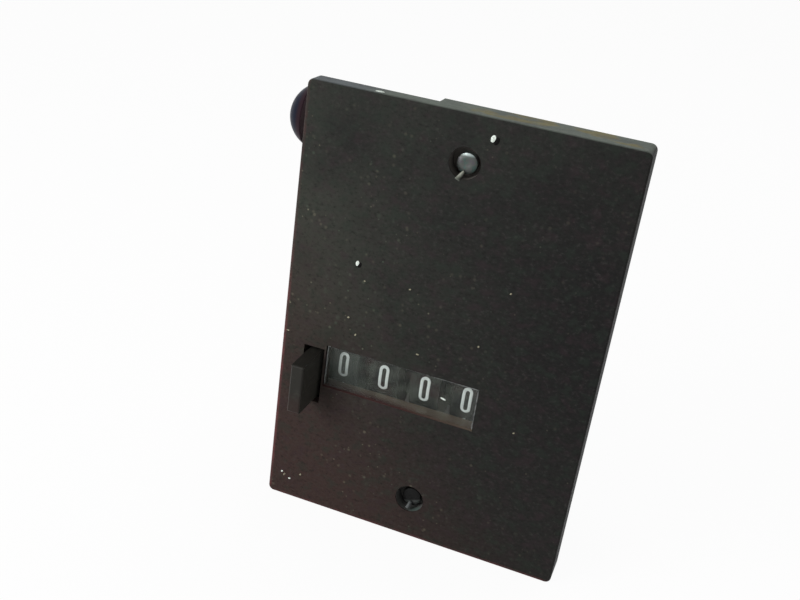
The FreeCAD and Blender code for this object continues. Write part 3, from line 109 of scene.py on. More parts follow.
def colour(name, text, value):
    return FloatVectorProperty(name=name, description=text, subtype="COLOR", size=3, min=0, max=1, default=value)


def length(name, text, value):
    return FloatProperty(name=name, description=text, unit="LENGTH", subtype="DISTANCE", min=0, default=value)


def share(name, text, value):
    return FloatProperty(name=name, description=text, subtype="FACTOR", min=0, max=1, default=value)


class TallyCaseLook(bpy.types.PropertyGroup):
    moulding: colour("Moulding", "Dark brown black of the moulded case", (0.0155, 0.0150, 0.0140))
    # Cool Tint: greenish, and painted light that makes the upper left of the face paler
    green_light_cast: colour("Cool Tint", "Greyish green cast towards the upper left", (0.041, 0.043, 0.035))
    warm: colour("Warm Tint", "Reddish cast towards the lower left", (0.040, 0.024, 0.021))
    # Deep Tint: painted shade that darkens the upper right of the face
    deep: colour("Deep Tint", "Near black cast towards the upper right", (0.0070, 0.0072, 0.0080))
    reddish: colour("Reddish Blots", "One of the two faint mottling colours", (0.032, 0.020, 0.024))
    greenish: colour("Greenish Blots", "The other faint mottling colour", (0.019, 0.028, 0.021))
    dust: colour("Dust", "Pale specks on the face", (0.26, 0.24, 0.17))
    green_dust: colour("Green Dust", "The greener of the specks", (0.13, 0.18, 0.13))
    # Settled Dust is painted light: it makes the faces that look up paler
    top_light: colour("Settled Dust", "Grey film on faces that look up", (0.125, 0.146, 0.124))
    # Left Film is that painted light, bluer at the left of the top
    bluer_top_light: colour("Left Film", "Bluer film at the left of the top", (0.125, 0.142, 0.150))
    # Streaks darken that painted light in streaks
    streak: colour("Streaks", "Where the film is wiped thin", (0.060, 0.062, 0.062))
    patch: colour("Brown Patches", "Ochre patches on the right half of the top", (0.190, 0.165, 0.070))
    # Upper Hole and Lower Hole are painted light that makes the shaded walls of the screw holes paler
    upper_hole_light: colour("Upper Hole", "Dusty wall of the upper screw hole", (0.105, 0.096, 0.088))
    lower_hole_light: colour("Lower Hole", "Dusty wall of the lower screw hole", (0.088, 0.088, 0.084))
    stain: colour("Stain", "Greenish stain at the foot of the lower hole", (0.085, 0.110, 0.100))
    # Window Lip: reddish, and painted light on the upward face of the ledge
    lit_red_lip: colour("Window Lip", "Reddish ledge under the figures", (0.098, 0.048, 0.046))
    worn: colour("Worn Lip", "Pale rubbed part of the ledge", (0.215, 0.178, 0.132))
    edge: colour("Edge", "Reddish line along the lower and the left rim", (0.115, 0.042, 0.042))
    grain: length("Grain", "Length of the fine mottling", 0.55 * MM)
    roughness: share("Roughness", "Roughness of the moulded face", 0.62)


class TallyWindowLook(bpy.types.PropertyGroup):
    bevel: length("Bevel", "Bright bevel round the pane", 0.22 * MM)
    haze: share("Haze", "How much the pane veils the wheels", 0.14)
    pane: colour("Pane", "Colour of the smears", (0.19, 0.215, 0.18))
    between: colour("Between", "Between the smears", (0.030, 0.033, 0.030))
    red: colour("Red Blots", "Reddish blots on the pane", (0.125, 0.060, 0.062))
    left: colour("Left End", "Paler left end of the pane", (0.21, 0.25, 0.22))
    right: colour("Right End", "Paler right end of the pane", (0.25, 0.24, 0.25))
    # Rim is a painted glint on the pane's bevelled edges; Dull Rim is the edge where the glint is not painted
    rim: colour("Rim", "Colour of the sawn edges", (0.40, 0.42, 0.42))
    rim_without_glint: colour("Dull Rim", "Where the sawn edges are dirty", (0.035, 0.035, 0.032))


class TallyFigureLook(bpy.types.PropertyGroup):
    height: length("Height", "Height of a figure", 4.7 * MM)
    width: length("Width", "Width of a figure", 1.75 * MM)
    stroke: length("Stroke", "Width of a stroke", 0.53 * MM)
    relief: length("Relief", "How far the paint stands proud", 0.05 * MM)
    paint: colour("Paint", "White paint of the figures", (0.90, 1.0, 0.96))
    wheel: colour("Wheel", "Black moulded wheels", (0.022, 0.025, 0.022))


class TallyButtonLook(bpy.types.PropertyGroup):
    shell: colour("Shell", "Dark navy of the dome", (0.004, 0.006, 0.016))
    rubbed: colour("Rubbed", "Where fingers rubbed the dome", (0.012, 0.012, 0.024))
    # Brim: reddish, and painted light on the side that turns from the lamps towards the case
    lit_red_brim: colour("Brim", "Reddish black towards the case", (0.020, 0.010, 0.014))
    # Back is painted light on the shaded flat back of the dome
    back: colour("Back", "Dusty flat back of the dome", (0.115, 0.080, 0.088))
    roughness: share("Roughness", "Roughness of the dome", 0.34)
    edge: length("Edge", "Rounding of the dome's back rim", 0.25 * MM)
    bore: length("Bore", "Radius of the seat of the stem", 1.9 * MM)
    seat: length("Seat", "Depth of the seat of the stem", 0.5 * MM)


class TallyScrewLook(bpy.types.PropertyGroup):
    plating: colour("Plating", "Tarnished nickel plating", (0.082, 0.088, 0.083))
    green: colour("Green Stain", "One of the two stains on the plating", (0.050, 0.098, 0.088))
    violet: colour("Violet Stain", "The other stain on the plating", (0.085, 0.076, 0.092))
    # Bare Rim is a painted highlight on the upper rim of the upper head
    rim_highlight: colour("Bare Rim", "Rubbed upper rim of the upper head", (0.32, 0.37, 0.36))
    # Grime is painted shade on the lower head, all but its foot
    lower_screw_shade: colour("Grime", "Dirt in the lower hole", (0.007, 0.007, 0.007))
    chamfer: length("Chamfer", "Rounding of the head", 0.30 * MM)
    crown: length("Crown", "How far the middle of the head stands above its rim", 0.07 * MM)
    head: length("Head", "Height of the head", 1.4 * MM)
    socket: length("Socket", "Depth of the dirt-filled drive socket", 0.04 * MM)
    socket_radius: length("Socket Radius", "Radius of the drive socket", 0.55 * MM)
    shank: length("Shank", "Radius of the shank", 0.95 * MM)
    tip: length("Tip", "Radius of the shank's end", 0.7 * MM)
    taper: length("Taper", "Length of the chamfer at the shank's end", 0.3 * MM)


class TallyMetalLook(bpy.types.PropertyGroup):
    steel: colour("Steel", "Turned steel", (0.50, 0.50, 0.49))
    plated: colour("Zinc", "Zinc-plated sheet", (0.56, 0.57, 0.56))
    spring: colour("Spring", "Blued spring steel", (0.34, 0.34, 0.34))
    brass: colour("Brass", "Sintered brass gears", (0.62, 0.46, 0.21))
    tab: colour("Reset Bar", "Black moulded reset bar", (0.022, 0.021, 0.018))
    tab_foot: colour("Reset Bar's Foot", "Reddish lower end of the reset bar", (0.032, 0.018, 0.016))


class TallyChipLook(bpy.types.PropertyGroup):
    pale: colour("Pale Chip", "The brightest chips and flecks", (0.80, 0.87, 0.81))
    pale_shade: colour("Pale Shade", "Darker parts of the bright chips", (0.55, 0.60, 0.54))
    ochre: colour("Ochre Fleck", "The duller flecks", (0.34, 0.32, 0.23))
    ochre_shade: colour("Ochre Shade", "Darker parts of the duller flecks", (0.16, 0.14, 0.10))
    # Pit and Pit Shade are painted shadows beside the bright chips
    pit: colour("Pit", "Dark pits beside the bright chips", (0.003, 0.003, 0.003))
    chip_shadow_pale: colour("Pit Shade", "Paler parts of the pits", (0.007, 0.006, 0.006))
    # Splinter Tip, Splinter Foot and Lower Splinter colour the pale streaks in the screw holes
    tip: colour("Splinter Tip", "Bright narrow end of the upper splinter", (0.50, 0.52, 0.44))
    foot: colour("Splinter Foot", "Wide end of the upper splinter", (0.12, 0.13, 0.11))
    lower: colour("Lower Splinter", "The splinter in the lower hole", (0.115, 0.122, 0.124))


class TallyStageLook(bpy.types.PropertyGroup):
    key: FloatProperty(name="Key", description="Power of the lamp in front at the left", default=1.15, min=0)
    top: FloatProperty(name="Top", description="Power of the lamp overhead", default=1.1, min=0)
    sky: FloatProperty(name="Sky", description="Level of the light from all round", default=0.30, min=0)
    floor: colour("Floor", "Colour of the floor", (0.92, 0.92, 0.92))


GROUPS = {
    "tally_case": TallyCaseLook,
    "tally_window": TallyWindowLook,
    "tally_figures": TallyFigureLook,
    "tally_button": TallyButtonLook,
    "tally_screws": TallyScrewLook,
    "tally_metals": TallyMetalLook,
    "tally_chips": TallyChipLook,
    "tally_stage": TallyStageLook,
}


# ---------------------------------------------------------------- finishes


def scaled(tone, by, more=0.0):
    """A paler or darker version of a colour."""
    return tuple(part * by + more for part in tone)


class Finish:
    """A material on its way: its nodes, its links and its shader."""

    def __init__(self, name, base, roughness, metallic=0.0):
        self.material = bpy.data.materials.new(name)
        self.material.use_nodes = True
        self.tree = self.material.node_tree
        self.shader = self.tree.nodes["Principled BSDF"]
        self.set({"Base Color": (*base, 1), "Roughness": roughness, "Metallic": metallic})
        self.spot = self.node("ShaderNodeTexCoord").outputs["Object"]

    def set(self, values):
        for name, value in values.items():
            self.shader.inputs[name].default_value = value

    def node(self, kind, **settings):
        made = self.tree.nodes.new(kind)
        for name, value in settings.items():
            setattr(made, name, value)
        return made

    def feed(self, socket, value):
        """A socket takes another node's output, a colour or a number."""
        if isinstance(value, bpy.types.NodeSocket):
            self.tree.links.new(value, socket)
        elif isinstance(socket, bpy.types.NodeSocketColor):
            socket.default_value = (*value, 1)
        else:
            socket.default_value = value

    def noise(self, grain, detail=2.0, scale=(1, 1, 1), rough=0.55):
        """Noise whose features are about grain metres long, and shorter along an axis with a larger scale."""
        mapping = self.node("ShaderNodeMapping")
        self.feed(mapping.inputs["Vector"], self.spot)
        self.feed(mapping.inputs["Scale"], scale)
        texture = self.node("ShaderNodeTexNoise")
        self.feed(texture.inputs["Vector"], mapping.outputs["Vector"])
        self.feed(texture.inputs["Scale"], 1 / grain)
        self.feed(texture.inputs["Detail"], detail)
        self.feed(texture.inputs["Roughness"], rough)
        return texture.outputs["Fac"]

    def spots(self, spacing):
        """Distance to the nearest of many scattered points, as a share of their spacing, and two lots for each."""
        texture = self.node("ShaderNodeTexVoronoi")
        self.feed(texture.inputs["Vector"], self.spot)
        self.feed(texture.inputs["Scale"], 1 / spacing)
        lots = self.node("ShaderNodeSeparateColor")
        self.feed(lots.inputs["Color"], texture.outputs["Color"])
        return texture.outputs["Distance"], lots.outputs[0], lots.outputs[1]

    def between(self, value, low, high, start=0.0, end=1.0):
        """Where value lies from low to high, eased, as a number from start to end."""
        ranged = self.node("ShaderNodeMapRange", interpolation_type="SMOOTHSTEP")
        limits = {"From Min": low, "From Max": high, "To Min": start, "To Max": end}
        for name, number in {"Value": value, **limits}.items():
            self.feed(ranged.inputs[name], number)
        return ranged.outputs["Result"]

    def maths(self, operation, first, second):
        made = self.node("ShaderNodeMath", operation=operation)
        self.feed(made.inputs[0], first)
        self.feed(made.inputs[1], second)
        return made.outputs[0]

    def times(self, *values):
        made = values[0]
        for value in values[1:]:
            made = self.maths("MULTIPLY", made, value)
        return made

    def along(self, direction):
        """How far a point lies along a direction, in metres."""
        made = self.node("ShaderNodeVectorMath", operation="DOT_PRODUCT")
        self.feed(made.inputs[0], self.spot)
        self.feed(made.inputs[1], direction)
        return made.outputs["Value"]

    def ramp(self, direction, low, high, start=0.0, end=1.0):
        """A number from start to end while a point goes from low to high along a direction, in metres."""
        return self.between(self.along(direction), low, high, start, end)

    def near(self, point, inner, outer):
        """1 within inner metres of a point, 0 beyond outer."""
        made = self.node("ShaderNodeVectorMath", operation="DISTANCE")
        self.feed(made.inputs[0], self.spot)
        self.feed(made.inputs[1], point)
        return self.between(made.outputs["Value"], inner, outer, 1.0, 0.0)

    def facing(self, axis):
        """The X, Y or Z part of the surface's direction."""
        normal = self.node("ShaderNodeSeparateXYZ")
        self.feed(normal.inputs[0], self.node("ShaderNodeNewGeometry").outputs["Normal"])
        return normal.outputs[axis]

    def mixed(self, amount, under, over):
        """Over laid on under, by an amount from 0 to 1."""
        made = self.node("ShaderNodeMix", data_type="RGBA")
        for index, value in ((0, amount), (6, under), (7, over)):
            self.feed(made.inputs[index], value)
        return made.outputs[2]

    def coloured(self, value):
        self.feed(self.shader.inputs["Base Color"], value)

    def rough(self, value):
        self.feed(self.shader.inputs["Roughness"], value)

    def bumped(self, *layers):
        """Each layer is a height and how deep it is in metres."""
        normal = None
        for height, depth in layers:
            bump = self.node("ShaderNodeBump")
            self.feed(bump.inputs["Height"], height)
            self.feed(bump.inputs["Distance"], depth)
            if normal:
                self.feed(bump.inputs["Normal"], normal)
            normal = bump.outputs["Normal"]
        self.feed(self.shader.inputs["Normal"], normal)


def moulded_case(look):
    """Dusty dark moulding, with painted light and marks on its top, painted light in its holes, a reddish ledge
    under the window that is painted lighter, and a reddish line along its rim.
    """
    finish = Finish("dusty_moulding", look.moulding, look.roughness)
    finish.set({"Specular IOR Level": 0.08})
    mottling = finish.noise(look.grain, 4, (0.8, 1, 1.1), 0.7)
    clouds = finish.noise(14 * MM, 3)
    tints = finish.noise(1.7 * MM, 3, (0.8, 1, 1))
    tone = tints_and_painted_light(finish, look, clouds)
    tone = mottled(finish, look, tone, mottling, tints)
    thickness, dust = dusting(finish, look)
    tone = finish.mixed(thickness, tone, dust)
    tone = lit_top_and_marks(finish, look, tone, clouds)
    tone = lit_screw_holes(finish, look, tone)
    tone = lit_window_lip(finish, look, tone, clouds)
    finish.coloured(reddish_rim(finish, look, tone, tints))
    finish.rough(finish.between(mottling, 0.3, 0.8, look.roughness - 0.1, look.roughness + 0.12))
    pits = finish.noise(0.3 * MM, 2)
    finish.bumped((clouds, 0.15 * MM), (mottling, 0.05 * MM), (pits, 0.03 * MM))
    return finish.material


def tints_and_painted_light(finish, look, clouds):
    """Greenish and painted lighter towards the upper left, reddish towards the lower left, and painted shade, near
    black, towards the upper right.
    """
    # Painted light: paler and greener towards the upper left
    green_light_cast = finish.times(finish.ramp((-0.75, 0, 0.55), -2 * MM, 60 * MM), finish.between(clouds, 0.2, 0.6))
    tone = finish.mixed(green_light_cast, look.moulding, look.green_light_cast)
    tone = finish.mixed(finish.ramp((-0.9, 0, -0.8), -28 * MM, 16 * MM), tone, look.warm)
    # Painted shade towards the upper right
    return finish.mixed(finish.ramp((0.6, 0, 0.8), 18 * MM, 52 * MM, 0.0, 0.55), tone, look.deep)


def mottled(finish, look, tone, mottling, tints):
    """Dark pits and pale grains, and faint blots of two colours."""
    tone = finish.mixed(finish.between(mottling, 0.28, 0.50, 0.6, 0.0), tone, scaled(look.moulding, 0.4))
    tone = finish.mixed(finish.between(mottling, 0.50, 0.78, 0.0, 0.55), tone, scaled(look.moulding, 3.0))
    tone = finish.mixed(finish.between(tints, 0.50, 0.72, 0.0, 0.35), tone, look.reddish)
    return finish.mixed(finish.between(tints, 0.50, 0.30, 0.0, 0.35), tone, look.greenish)


# Dust specks: spacing, reach as a share of it, lots that carry none, strength of the palest
DUST = (
    (1.7 * MM, 0.13, 0.60, 0.80),
    (0.8 * MM, 0.22, 0.68, 0.45),
    (1.2 * MM, 0.33, 0.42, 0.28),
    (2.4 * MM, 0.26, 0.35, 0.13),
)


def dusting(finish, look):
    """How thick the dust lies, and its colour: specks in drifts, most of them at the left and above the window."""
    left = finish.ramp((-0.85, 0, -0.30), -34 * MM, 14 * MM, 0.25, 1.0)
    drifts = finish.between(finish.noise(7 * MM, 2), 0.42, 0.62, 0.06, 0.9)
    above_window = finish.near((-15.5 * MM, FACE, 38.5 * MM), 3 * MM, 12 * MM)
    drifts = finish.maths("MAXIMUM", drifts, above_window)
    thickness = None
    for spacing, reach, empty, most in DUST:
        distance, lot, hue = finish.spots(spacing)
        speck = finish.between(distance, 0.2 * reach, reach, 1.0, 0.0)
        speck = finish.times(speck, finish.between(lot, empty, 1.0, 0.0, most), left, drifts)
        thickness = finish.maths("MAXIMUM", thickness, speck) if thickness else speck
    return thickness, finish.mixed(finish.between(hue, 0.4, 0.9), look.dust, look.green_dust)


def lit_top_and_marks(finish, look, tone, clouds):
    """Painted light on the faces that look up: bluish at the left, with ochre patches at the back of the right
    half and darker streaks, fainter at the front edge and towards the back.
    """
    streaks = finish.noise(3.5 * MM, 4, (0.7, 1.6, 1))
    blots = finish.noise(3.2 * MM, 2, (0.7, 1, 1))
    film = finish.mixed(finish.ramp(RIGHT, -12 * MM, -20 * MM), look.top_light, look.bluer_top_light)
    ochre = finish.times(
        finish.ramp(RIGHT, -6 * MM, 1 * MM),
        finish.between(blots, 0.47, 0.62, 0.0, 0.85),
        finish.ramp(BACK, FACE + 0.9 * MM, FACE + 1.7 * MM),
        finish.ramp(BACK, COVER_HIGH.y - 1.0 * MM, COVER_HIGH.y + 0.5 * MM, 1.0, 0.12),
    )
    film = finish.mixed(ochre, film, look.patch)
    film = finish.mixed(finish.between(streaks, 0.56, 0.30, 0.0, 0.4), film, look.streak)
    # Painted light on the faces that look up, near the top of the case
    up = finish.times(
        finish.between(finish.facing("Z"), 0.55, 0.95),
        finish.ramp(UP, COVER_HIGH.z - 7 * MM, COVER_HIGH.z - 5 * MM),
        finish.between(clouds, 0.2, 0.65, 0.65, 0.95),
        finish.ramp(BACK, FACE + 0.1 * MM, FACE + 0.7 * MM, 0.6, 1.0),
        finish.ramp(BACK, COVER_HIGH.y, 6 * MM, 1.0, 0.45),
    )
    return finish.mixed(up, tone, film)


def lit_screw_holes(finish, look, tone):
    """Painted light on the walls and the floors of the screw holes, which lie in shade, stained green at the foot
    of the lower one.
    """
    sunk = finish.ramp(BACK, FACE + 0.1 * MM, FACE + 0.3 * MM)
    stained = finish.near((1.2 * MM, FACE + 0.5 * MM, LOWER_HOLE - 2.3 * MM), 0.5 * MM, 1.5 * MM)
    lower_wall = finish.mixed(stained, look.lower_hole_light, look.stain)
    reach = math.hypot(HOLE, HOLE_DEPTH / 2) + 0.2 * MM
    # Both holes are painted paler than their shade
    for height, wall in ((UPPER_HOLE, look.upper_hole_light), (LOWER_HOLE, lower_wall)):
        inside = finish.near((0, FACE + HOLE_DEPTH / 2, height), reach, reach + 0.2 * MM)
        tone = finish.mixed(finish.times(sunk, inside), tone, wall)
    return tone


def lit_window_lip(finish, look, tone, clouds):
    """Reddish upper side of the ledge under the figures, painted lighter as it faces up, rubbed pale towards the
    right and at its back edge.
    """
    # The ledge's upward face, reddish and painted light
    ledge = finish.times(
        finish.between(finish.facing("Z"), 0.5, 0.9),
        finish.ramp(UP, PANE_LOW.z + 0.3 * MM, PANE_LOW.z + 0.4 * MM, 1.0, 0.0),
        finish.ramp(UP, PANE_LOW.z - 0.4 * MM, PANE_LOW.z - 0.3 * MM),
    )
    rubbed = finish.ramp((0.13, 1, 0), FACE - 0.5 * MM, FACE + 1.6 * MM)
    rubbed = finish.times(rubbed, finish.between(clouds, 0.2, 0.6, 0.6, 1.0))
    return finish.mixed(ledge, tone, finish.mixed(rubbed, look.lit_red_lip, look.worn))


def reddish_rim(finish, look, tone, tints):
    """A reddish line along the foot and the left side of the face, fainter towards the top."""
    left = finish.times(
        finish.ramp((-1, 0, 0), -COVER_LOW.x - 0.75 * MM, -COVER_LOW.x - 0.30 * MM),
        finish.ramp(UP, 30 * MM, 55 * MM, 1.0, 0.25),
    )
    foot = finish.ramp(UP, 0.25 * MM, 0.70 * MM, 0.75, 0.0)
    front = finish.ramp(BACK, FACE + 0.5 * MM, FACE + 0.9 * MM, 1.0, 0.0)
    rim = finish.times(finish.maths("MAXIMUM", left, foot), front, finish.between(tints, 0.35, 0.6, 0.4, 0.9))
    return finish.mixed(rim, tone, look.edge)


def scuffed(finish, tone, pale, grain, amount, roughness):
    """Pale scuffs drawn out from front to back; roughness is that of the ground and that of the scuffs."""
    scuffs = finish.between(finish.noise(grain, 4, (1, 0.35, 1)), 0.52, 0.72)
    finish.coloured(finish.mixed(finish.times(scuffs, amount), tone, pale))
    finish.rough(finish.between(scuffs, 0, 1, *roughness))
    finish.bumped((finish.noise(0.35 * MM, 2), 0.02 * MM))
    return finish.material


def black_wheel(look):
    """Plain dark moulding with scuffs."""
    finish = Finish("black_wheel", look.wheel, 0.42)
    finish.set({"Specular IOR Level": 0.10})
    return scuffed(finish, look.wheel, scaled(look.wheel, 2.2, 0.006), 1.1 * MM, 0.8, (0.34, 0.57))


def handled_tab(look):
    """The reset bar: greyish with a reddish lower end, and painted light on its right flank, which lies in shade.
    """
    finish = Finish("reset_bar", look.tab, 0.5)
    finish.set({"Specular IOR Level": 0.10})
    tone = finish.mixed(finish.ramp(UP, 22.5 * MM, 25.5 * MM, 0.6, 0.0), look.tab, look.tab_foot)
    # Painted light: the right flank is made paler than its shade
    right = finish.between(finish.facing("X"), 0.6, 0.95)
    tone = finish.mixed(right, tone, scaled(look.tab, 1.75))
    return scuffed(finish, tone, scaled(look.tab, 2.0), 1.2 * MM, 0.45, (0.42, 0.65))


def brushed_metal(name, tone, roughness, drawn=(0.08, 1, 1)):
    """Metal with drawn lines, stains and small dents."""
    finish = Finish(name, tone, roughness, 1.0)
    lines = finish.noise(0.25 * MM, 3, drawn)
    stains = finish.between(finish.noise(3 * MM, 3), 0.5, 0.75)
    dull = scaled(tone, 0.55)
    lined = finish.mixed(finish.times(lines, 0.35), tone, dull)
    finish.coloured(finish.mixed(finish.times(stains, 0.6), lined, dull))
    finish.rough(finish.between(lines, 0.3, 0.7, roughness - 0.06, roughness + 0.14))
    finish.bumped((lines, 0.01 * MM))
    return finish.material


def dress(slot, material):
    """The CAD nodes of one of the record's material slots keep their shape and get this finish."""
    for entry in frame["record"]["subparts"]:
        if entry["material_slot"] == slot:
            for place in frame["nodes"][entry["node"]].material_slots:
                place.material = material


# ---------------------------------------------------------------- making pieces


def placed(name, data):
    """An object at the origin, in the scene."""
    made = bpy.data.objects.new(name, data)
    bpy.context.scene.collection.objects.link(made)
    return made


def finished(made, name, body, slot, *materials, smooth=math.radians(35)):
    """A bmesh becomes a piece that stands at the origin, rides on a body and has these finishes."""
    mesh = bpy.data.meshes.new(name)
    bmesh.ops.remove_doubles(made, verts=made.verts, dist=0.001 * MM)
    bmesh.ops.recalc_face_normals(made, faces=made.faces)
    made.to_mesh(mesh)
    made.free()
    for material in materials:
        mesh.materials.append(material)
    mesh.shade_smooth()
    mesh.set_sharp_from_angle(angle=smooth)
    piece = placed(name, mesh)
    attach(piece, body)
    return piece


def turned(profile, segments=64):
    """A bmesh turned about X from a profile of (x, radius) corners."""
    made = bmesh.new()
    corners = [made.verts.new((x, 0, radius)) for x, radius in profile]
    edges = [made.edges.new(pair) for pair in zip(corners, corners[1:])]
    whole = {"angle": 2 * math.pi, "steps": segments, "use_merge": True}
    bmesh.ops.spin(made, geom=corners + edges, cent=(0, 0, 0), axis=RIGHT, **whole)
    return made


def rounded(made, edges, width, segments=3):
    arc = {"offset": width, "segments": segments, "profile": 0.5}
    bmesh.ops.bevel(made, geom=edges, affect="EDGES", material=-1, clamp_overlap=True, **arc)


def box_between(low, high):
    made = bmesh.new()
    bmesh.ops.create_cube(made, size=1)
    bmesh.ops.scale(made, vec=high - low, verts=made.verts)
    bmesh.ops.translate(made, vec=(low + high) / 2, verts=made.verts)
    return made


# ---------------------------------------------------------------- the figures


def bow(x, y, wide, tall, start, end, steps=14):
    """Points of an arc from one angle to another, in degrees."""
    turns = [math.radians(start + (end - start) * step / steps) for step in range(steps + 1)]
    return [(x + wide * math.cos(turn), y + tall * math.sin(turn)) for turn in turns]


def figure_strokes(a, h):
    """The strokes of 0 to 9 as (points, closed), a half width and h half height from the middle."""
    ring = bow(0, h - a, a, a, 0, 180) + bow(0, a - h, a, a, 180, 360)
    foot = (bow(0, -0.45 * h, a, 0.55 * h, 0, 345, 22), True)
    hook = (bow(0, h - a, a, a, 25, 180) + [(-a, -0.45 * h)], False)
    six = [foot, hook]
    flag = [(0.85 * a, h), (-0.75 * a, h), (-0.85 * a, 0.1 * h)]
    return [
        [(ring, True)],
        [([(-0.55 * a, h - 0.7 * a), (0.1 * a, h), (0.1 * a, -h)], False)],
        [(bow(0, h - a, a, a, 170, -20) + [(-a, -h), (a, -h)], False)],
        [(bow(0, 0.5 * h, a, 0.5 * h, 150, -90) + bow(0, -0.5 * h, a, 0.5 * h, 90, -150), False)],
        [([(0.3 * a, h), (-a, -0.35 * h), (a, -0.35 * h)], False), ([(0.4 * a, 0.05 * h), (0.4 * a, -h)], False)],
        [(flag + bow(0, -0.42 * h, a, 0.58 * h, 125, -145), False)],
        six,
        [([(-a, h), (a, h), (-0.25 * a, -h)], False)],
        [(bow(0, 0.5 * h, 0.85 * a, 0.5 * h, 0, 345, 22), True), (bow(0, -0.5 * h, a, 0.5 * h, 0, 345, 22), True)],
        [([(-x, -y) for x, y in points], closed) for points, closed in six],
    ]


def filled(points, closed, spacing):
    """The points of a stroke with more between them, so that long runs bend with the wheel."""
    full = []
    for start, end in zip(points, points[1:] + points[:1] if closed else points[1:]):
        steps = max(1, math.ceil(math.dist(start, end) / spacing))
        full += [tuple(Vector(start).lerp(Vector(end), step / steps)) for step in range(steps)]
    return full if closed else full + [points[-1]]


def painted_figure(strokes, look):
    """One figure as a mesh in the XY plane: a round stroke, pressed flat to the paint's relief."""
    curve = bpy.data.curves.new("figure", "CURVE")
    curve.dimensions = "3D"
    curve.bevel_depth = look.stroke / 2
    curve.bevel_resolution = 2
    curve.use_fill_caps = True
    for corners, closed in strokes:
        points = filled(corners, closed, look.stroke)
        spline = curve.splines.new("POLY")
        spline.points.add(len(points) - 1)
        for point, (x, y) in zip(spline.points, points):
            point.co = (x, y, 0, 1)
        spline.use_cyclic_u = closed
    stroke = bpy.data.objects.new("figure", curve)
    mesh = bpy.data.meshes.new_from_object(stroke)
    bpy.data.objects.remove(stroke)
    bpy.data.curves.remove(curve)
    mesh.transform(Matrix.Diagonal((1, 1, look.relief / look.stroke * 2, 1)))
    return mesh


def wheel_figures(name, rise, look, material):
    """Ten figures round a wheel, 0 in front, so that the next one comes up from below."""
    low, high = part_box(f"{name}_wheel")
    middle = Vector((low.x + WHEEL_RIM / 2, (low.y + high.y) / 2, (low.z + high.z) / 2))
    radius = (high.z - low.z) / 2
    made = bmesh.new()
    half_wide, half_high = (look.width - look.stroke) / 2, (look.height - look.stroke) / 2
    for count, strokes in enumerate(figure_strokes(half_wide, half_high)):
        mesh = painted_figure(strokes, look)
        for vertex in mesh.vertices:
            x, up, proud = vertex.co
            turn = (up + rise) / radius - math.radians(36) * count
            out = radius + proud
            vertex.co = middle + Vector((x, -out * math.cos(turn), out * math.sin(turn)))
        made.from_mesh(mesh)
        bpy.data.meshes.remove(mesh)
    return finished(made, f"{name}_figures", name, "wheel", material, smooth=math.radians(60))


# ---------------------------------------------------------------- operators


def seen_by_eye(tree):
    """1 for the rays by which the camera, a mirror or a clear pane shows something, 0 for those that light it."""
    path = tree.nodes.new("ShaderNodeLightPath").outputs
    seen = path["Is Camera Ray"]
    for kind in ("Is Glossy Ray", "Is Transmission Ray"):
        either = tree.nodes.new("ShaderNodeMath")
        either.operation = "MAXIMUM"
        tree.links.new(seen, either.inputs[0])
        tree.links.new(path[kind], either.inputs[1])
        seen = either.outputs[0]
    return seen


class TALLY_OT_stage(bpy.types.Operator):
    """Pale floor, white surroundings, two soft lamps and the camera"""

    bl_idname = "tally.stage"
    bl_label = "Stage"

    def execute(self, context):
        look = context.scene.tally_stage
        self.floor(look)
        self.surroundings(context, look)
        self.lamp("key_lamp", look.key, KEY_SIDE, KEY_SPOT)
        self.lamp("top_lamp", look.top, TOP_SIDE, TOP_SPOT)
        self.camera(context)
        context.scene.view_settings.view_transform = "Standard"
        return {"FINISHED"}

    def floor(self, look):
        """Lit by the lamps, but shown almost white."""
        made = bmesh.new()
        bmesh.ops.create_grid(made, x_segments=2, y_segments=2, size=FLOOR_REACH)
        bmesh.ops.translate(made, vec=(0, 0, -FLOOR_GAP), verts=made.verts)
        mesh = bpy.data.meshes.new("floor")
        made.to_mesh(mesh)
        made.free()
        floor = placed("floor", mesh)
        finish = Finish("pale_floor", look.floor, 0.9)
        paper = finish.node("ShaderNodeEmission")
        mix = finish.node("ShaderNodeMixShader")
        finish.feed(mix.inputs[0], finish.times(seen_by_eye(finish.tree), 0.95))
        finish.feed(mix.inputs[1], finish.shader.outputs[0])
        finish.feed(mix.inputs[2], paper.outputs[0])
        finish.feed(finish.tree.nodes["Material Output"].inputs["Surface"], mix.outputs[0])
        mesh.materials.append(finish.material)

    def surroundings(self, context, look):
        """White to the eye, but a dimmer light."""
        world = bpy.data.worlds.new("soft_white")
        world.use_nodes = True
        tree = world.node_tree
        level = tree.nodes.new("ShaderNodeMapRange")
        level.inputs["To Min"].default_value = look.sky
        level.inputs["To Max"].default_value = 1.0
        tree.links.new(seen_by_eye(tree), level.inputs["Value"])
        background = tree.nodes["Background"]
        background.inputs["Color"].default_value = (1, 1, 1, 1)
        tree.links.new(level.outputs["Result"], background.inputs["Strength"])
        context.scene.world = world

    def lamp(self, name, power, side, spot):
        light = bpy.data.lights.new(name, "AREA")
        light.energy = power
        light.size = side
        lamp = placed(name, light)
        lamp.location = spot
        lamp.rotation_euler = (spot - LAMPS_AIM).to_track_quat("Z", "Y").to_euler()

    def camera(self, context):
        """Seen from above and from the right, tilted as the photograph is."""
        lens = bpy.data.cameras.new("portrait")
        lens.sensor_width = CAMERA_SENSOR
        lens.sensor_fit = "HORIZONTAL"
        lens.lens = CAMERA_LENS
        lens.clip_start = 5 * MM
        camera = placed("portrait", lens)
        camera.location = CAMERA_SPOT
        camera.rotation_euler = [math.radians(angle) for angle in CAMERA_TURN]
        context.scene.camera = camera


class TALLY_OT_case(bpy.types.Operator):
    """Finish of the cover and the rear shell"""

    bl_idname = "tally.case"
    bl_label = "Case"

    def execute(self, context):
        dress("case", moulded_case(context.scene.tally_case))
        return {"FINISHED"}


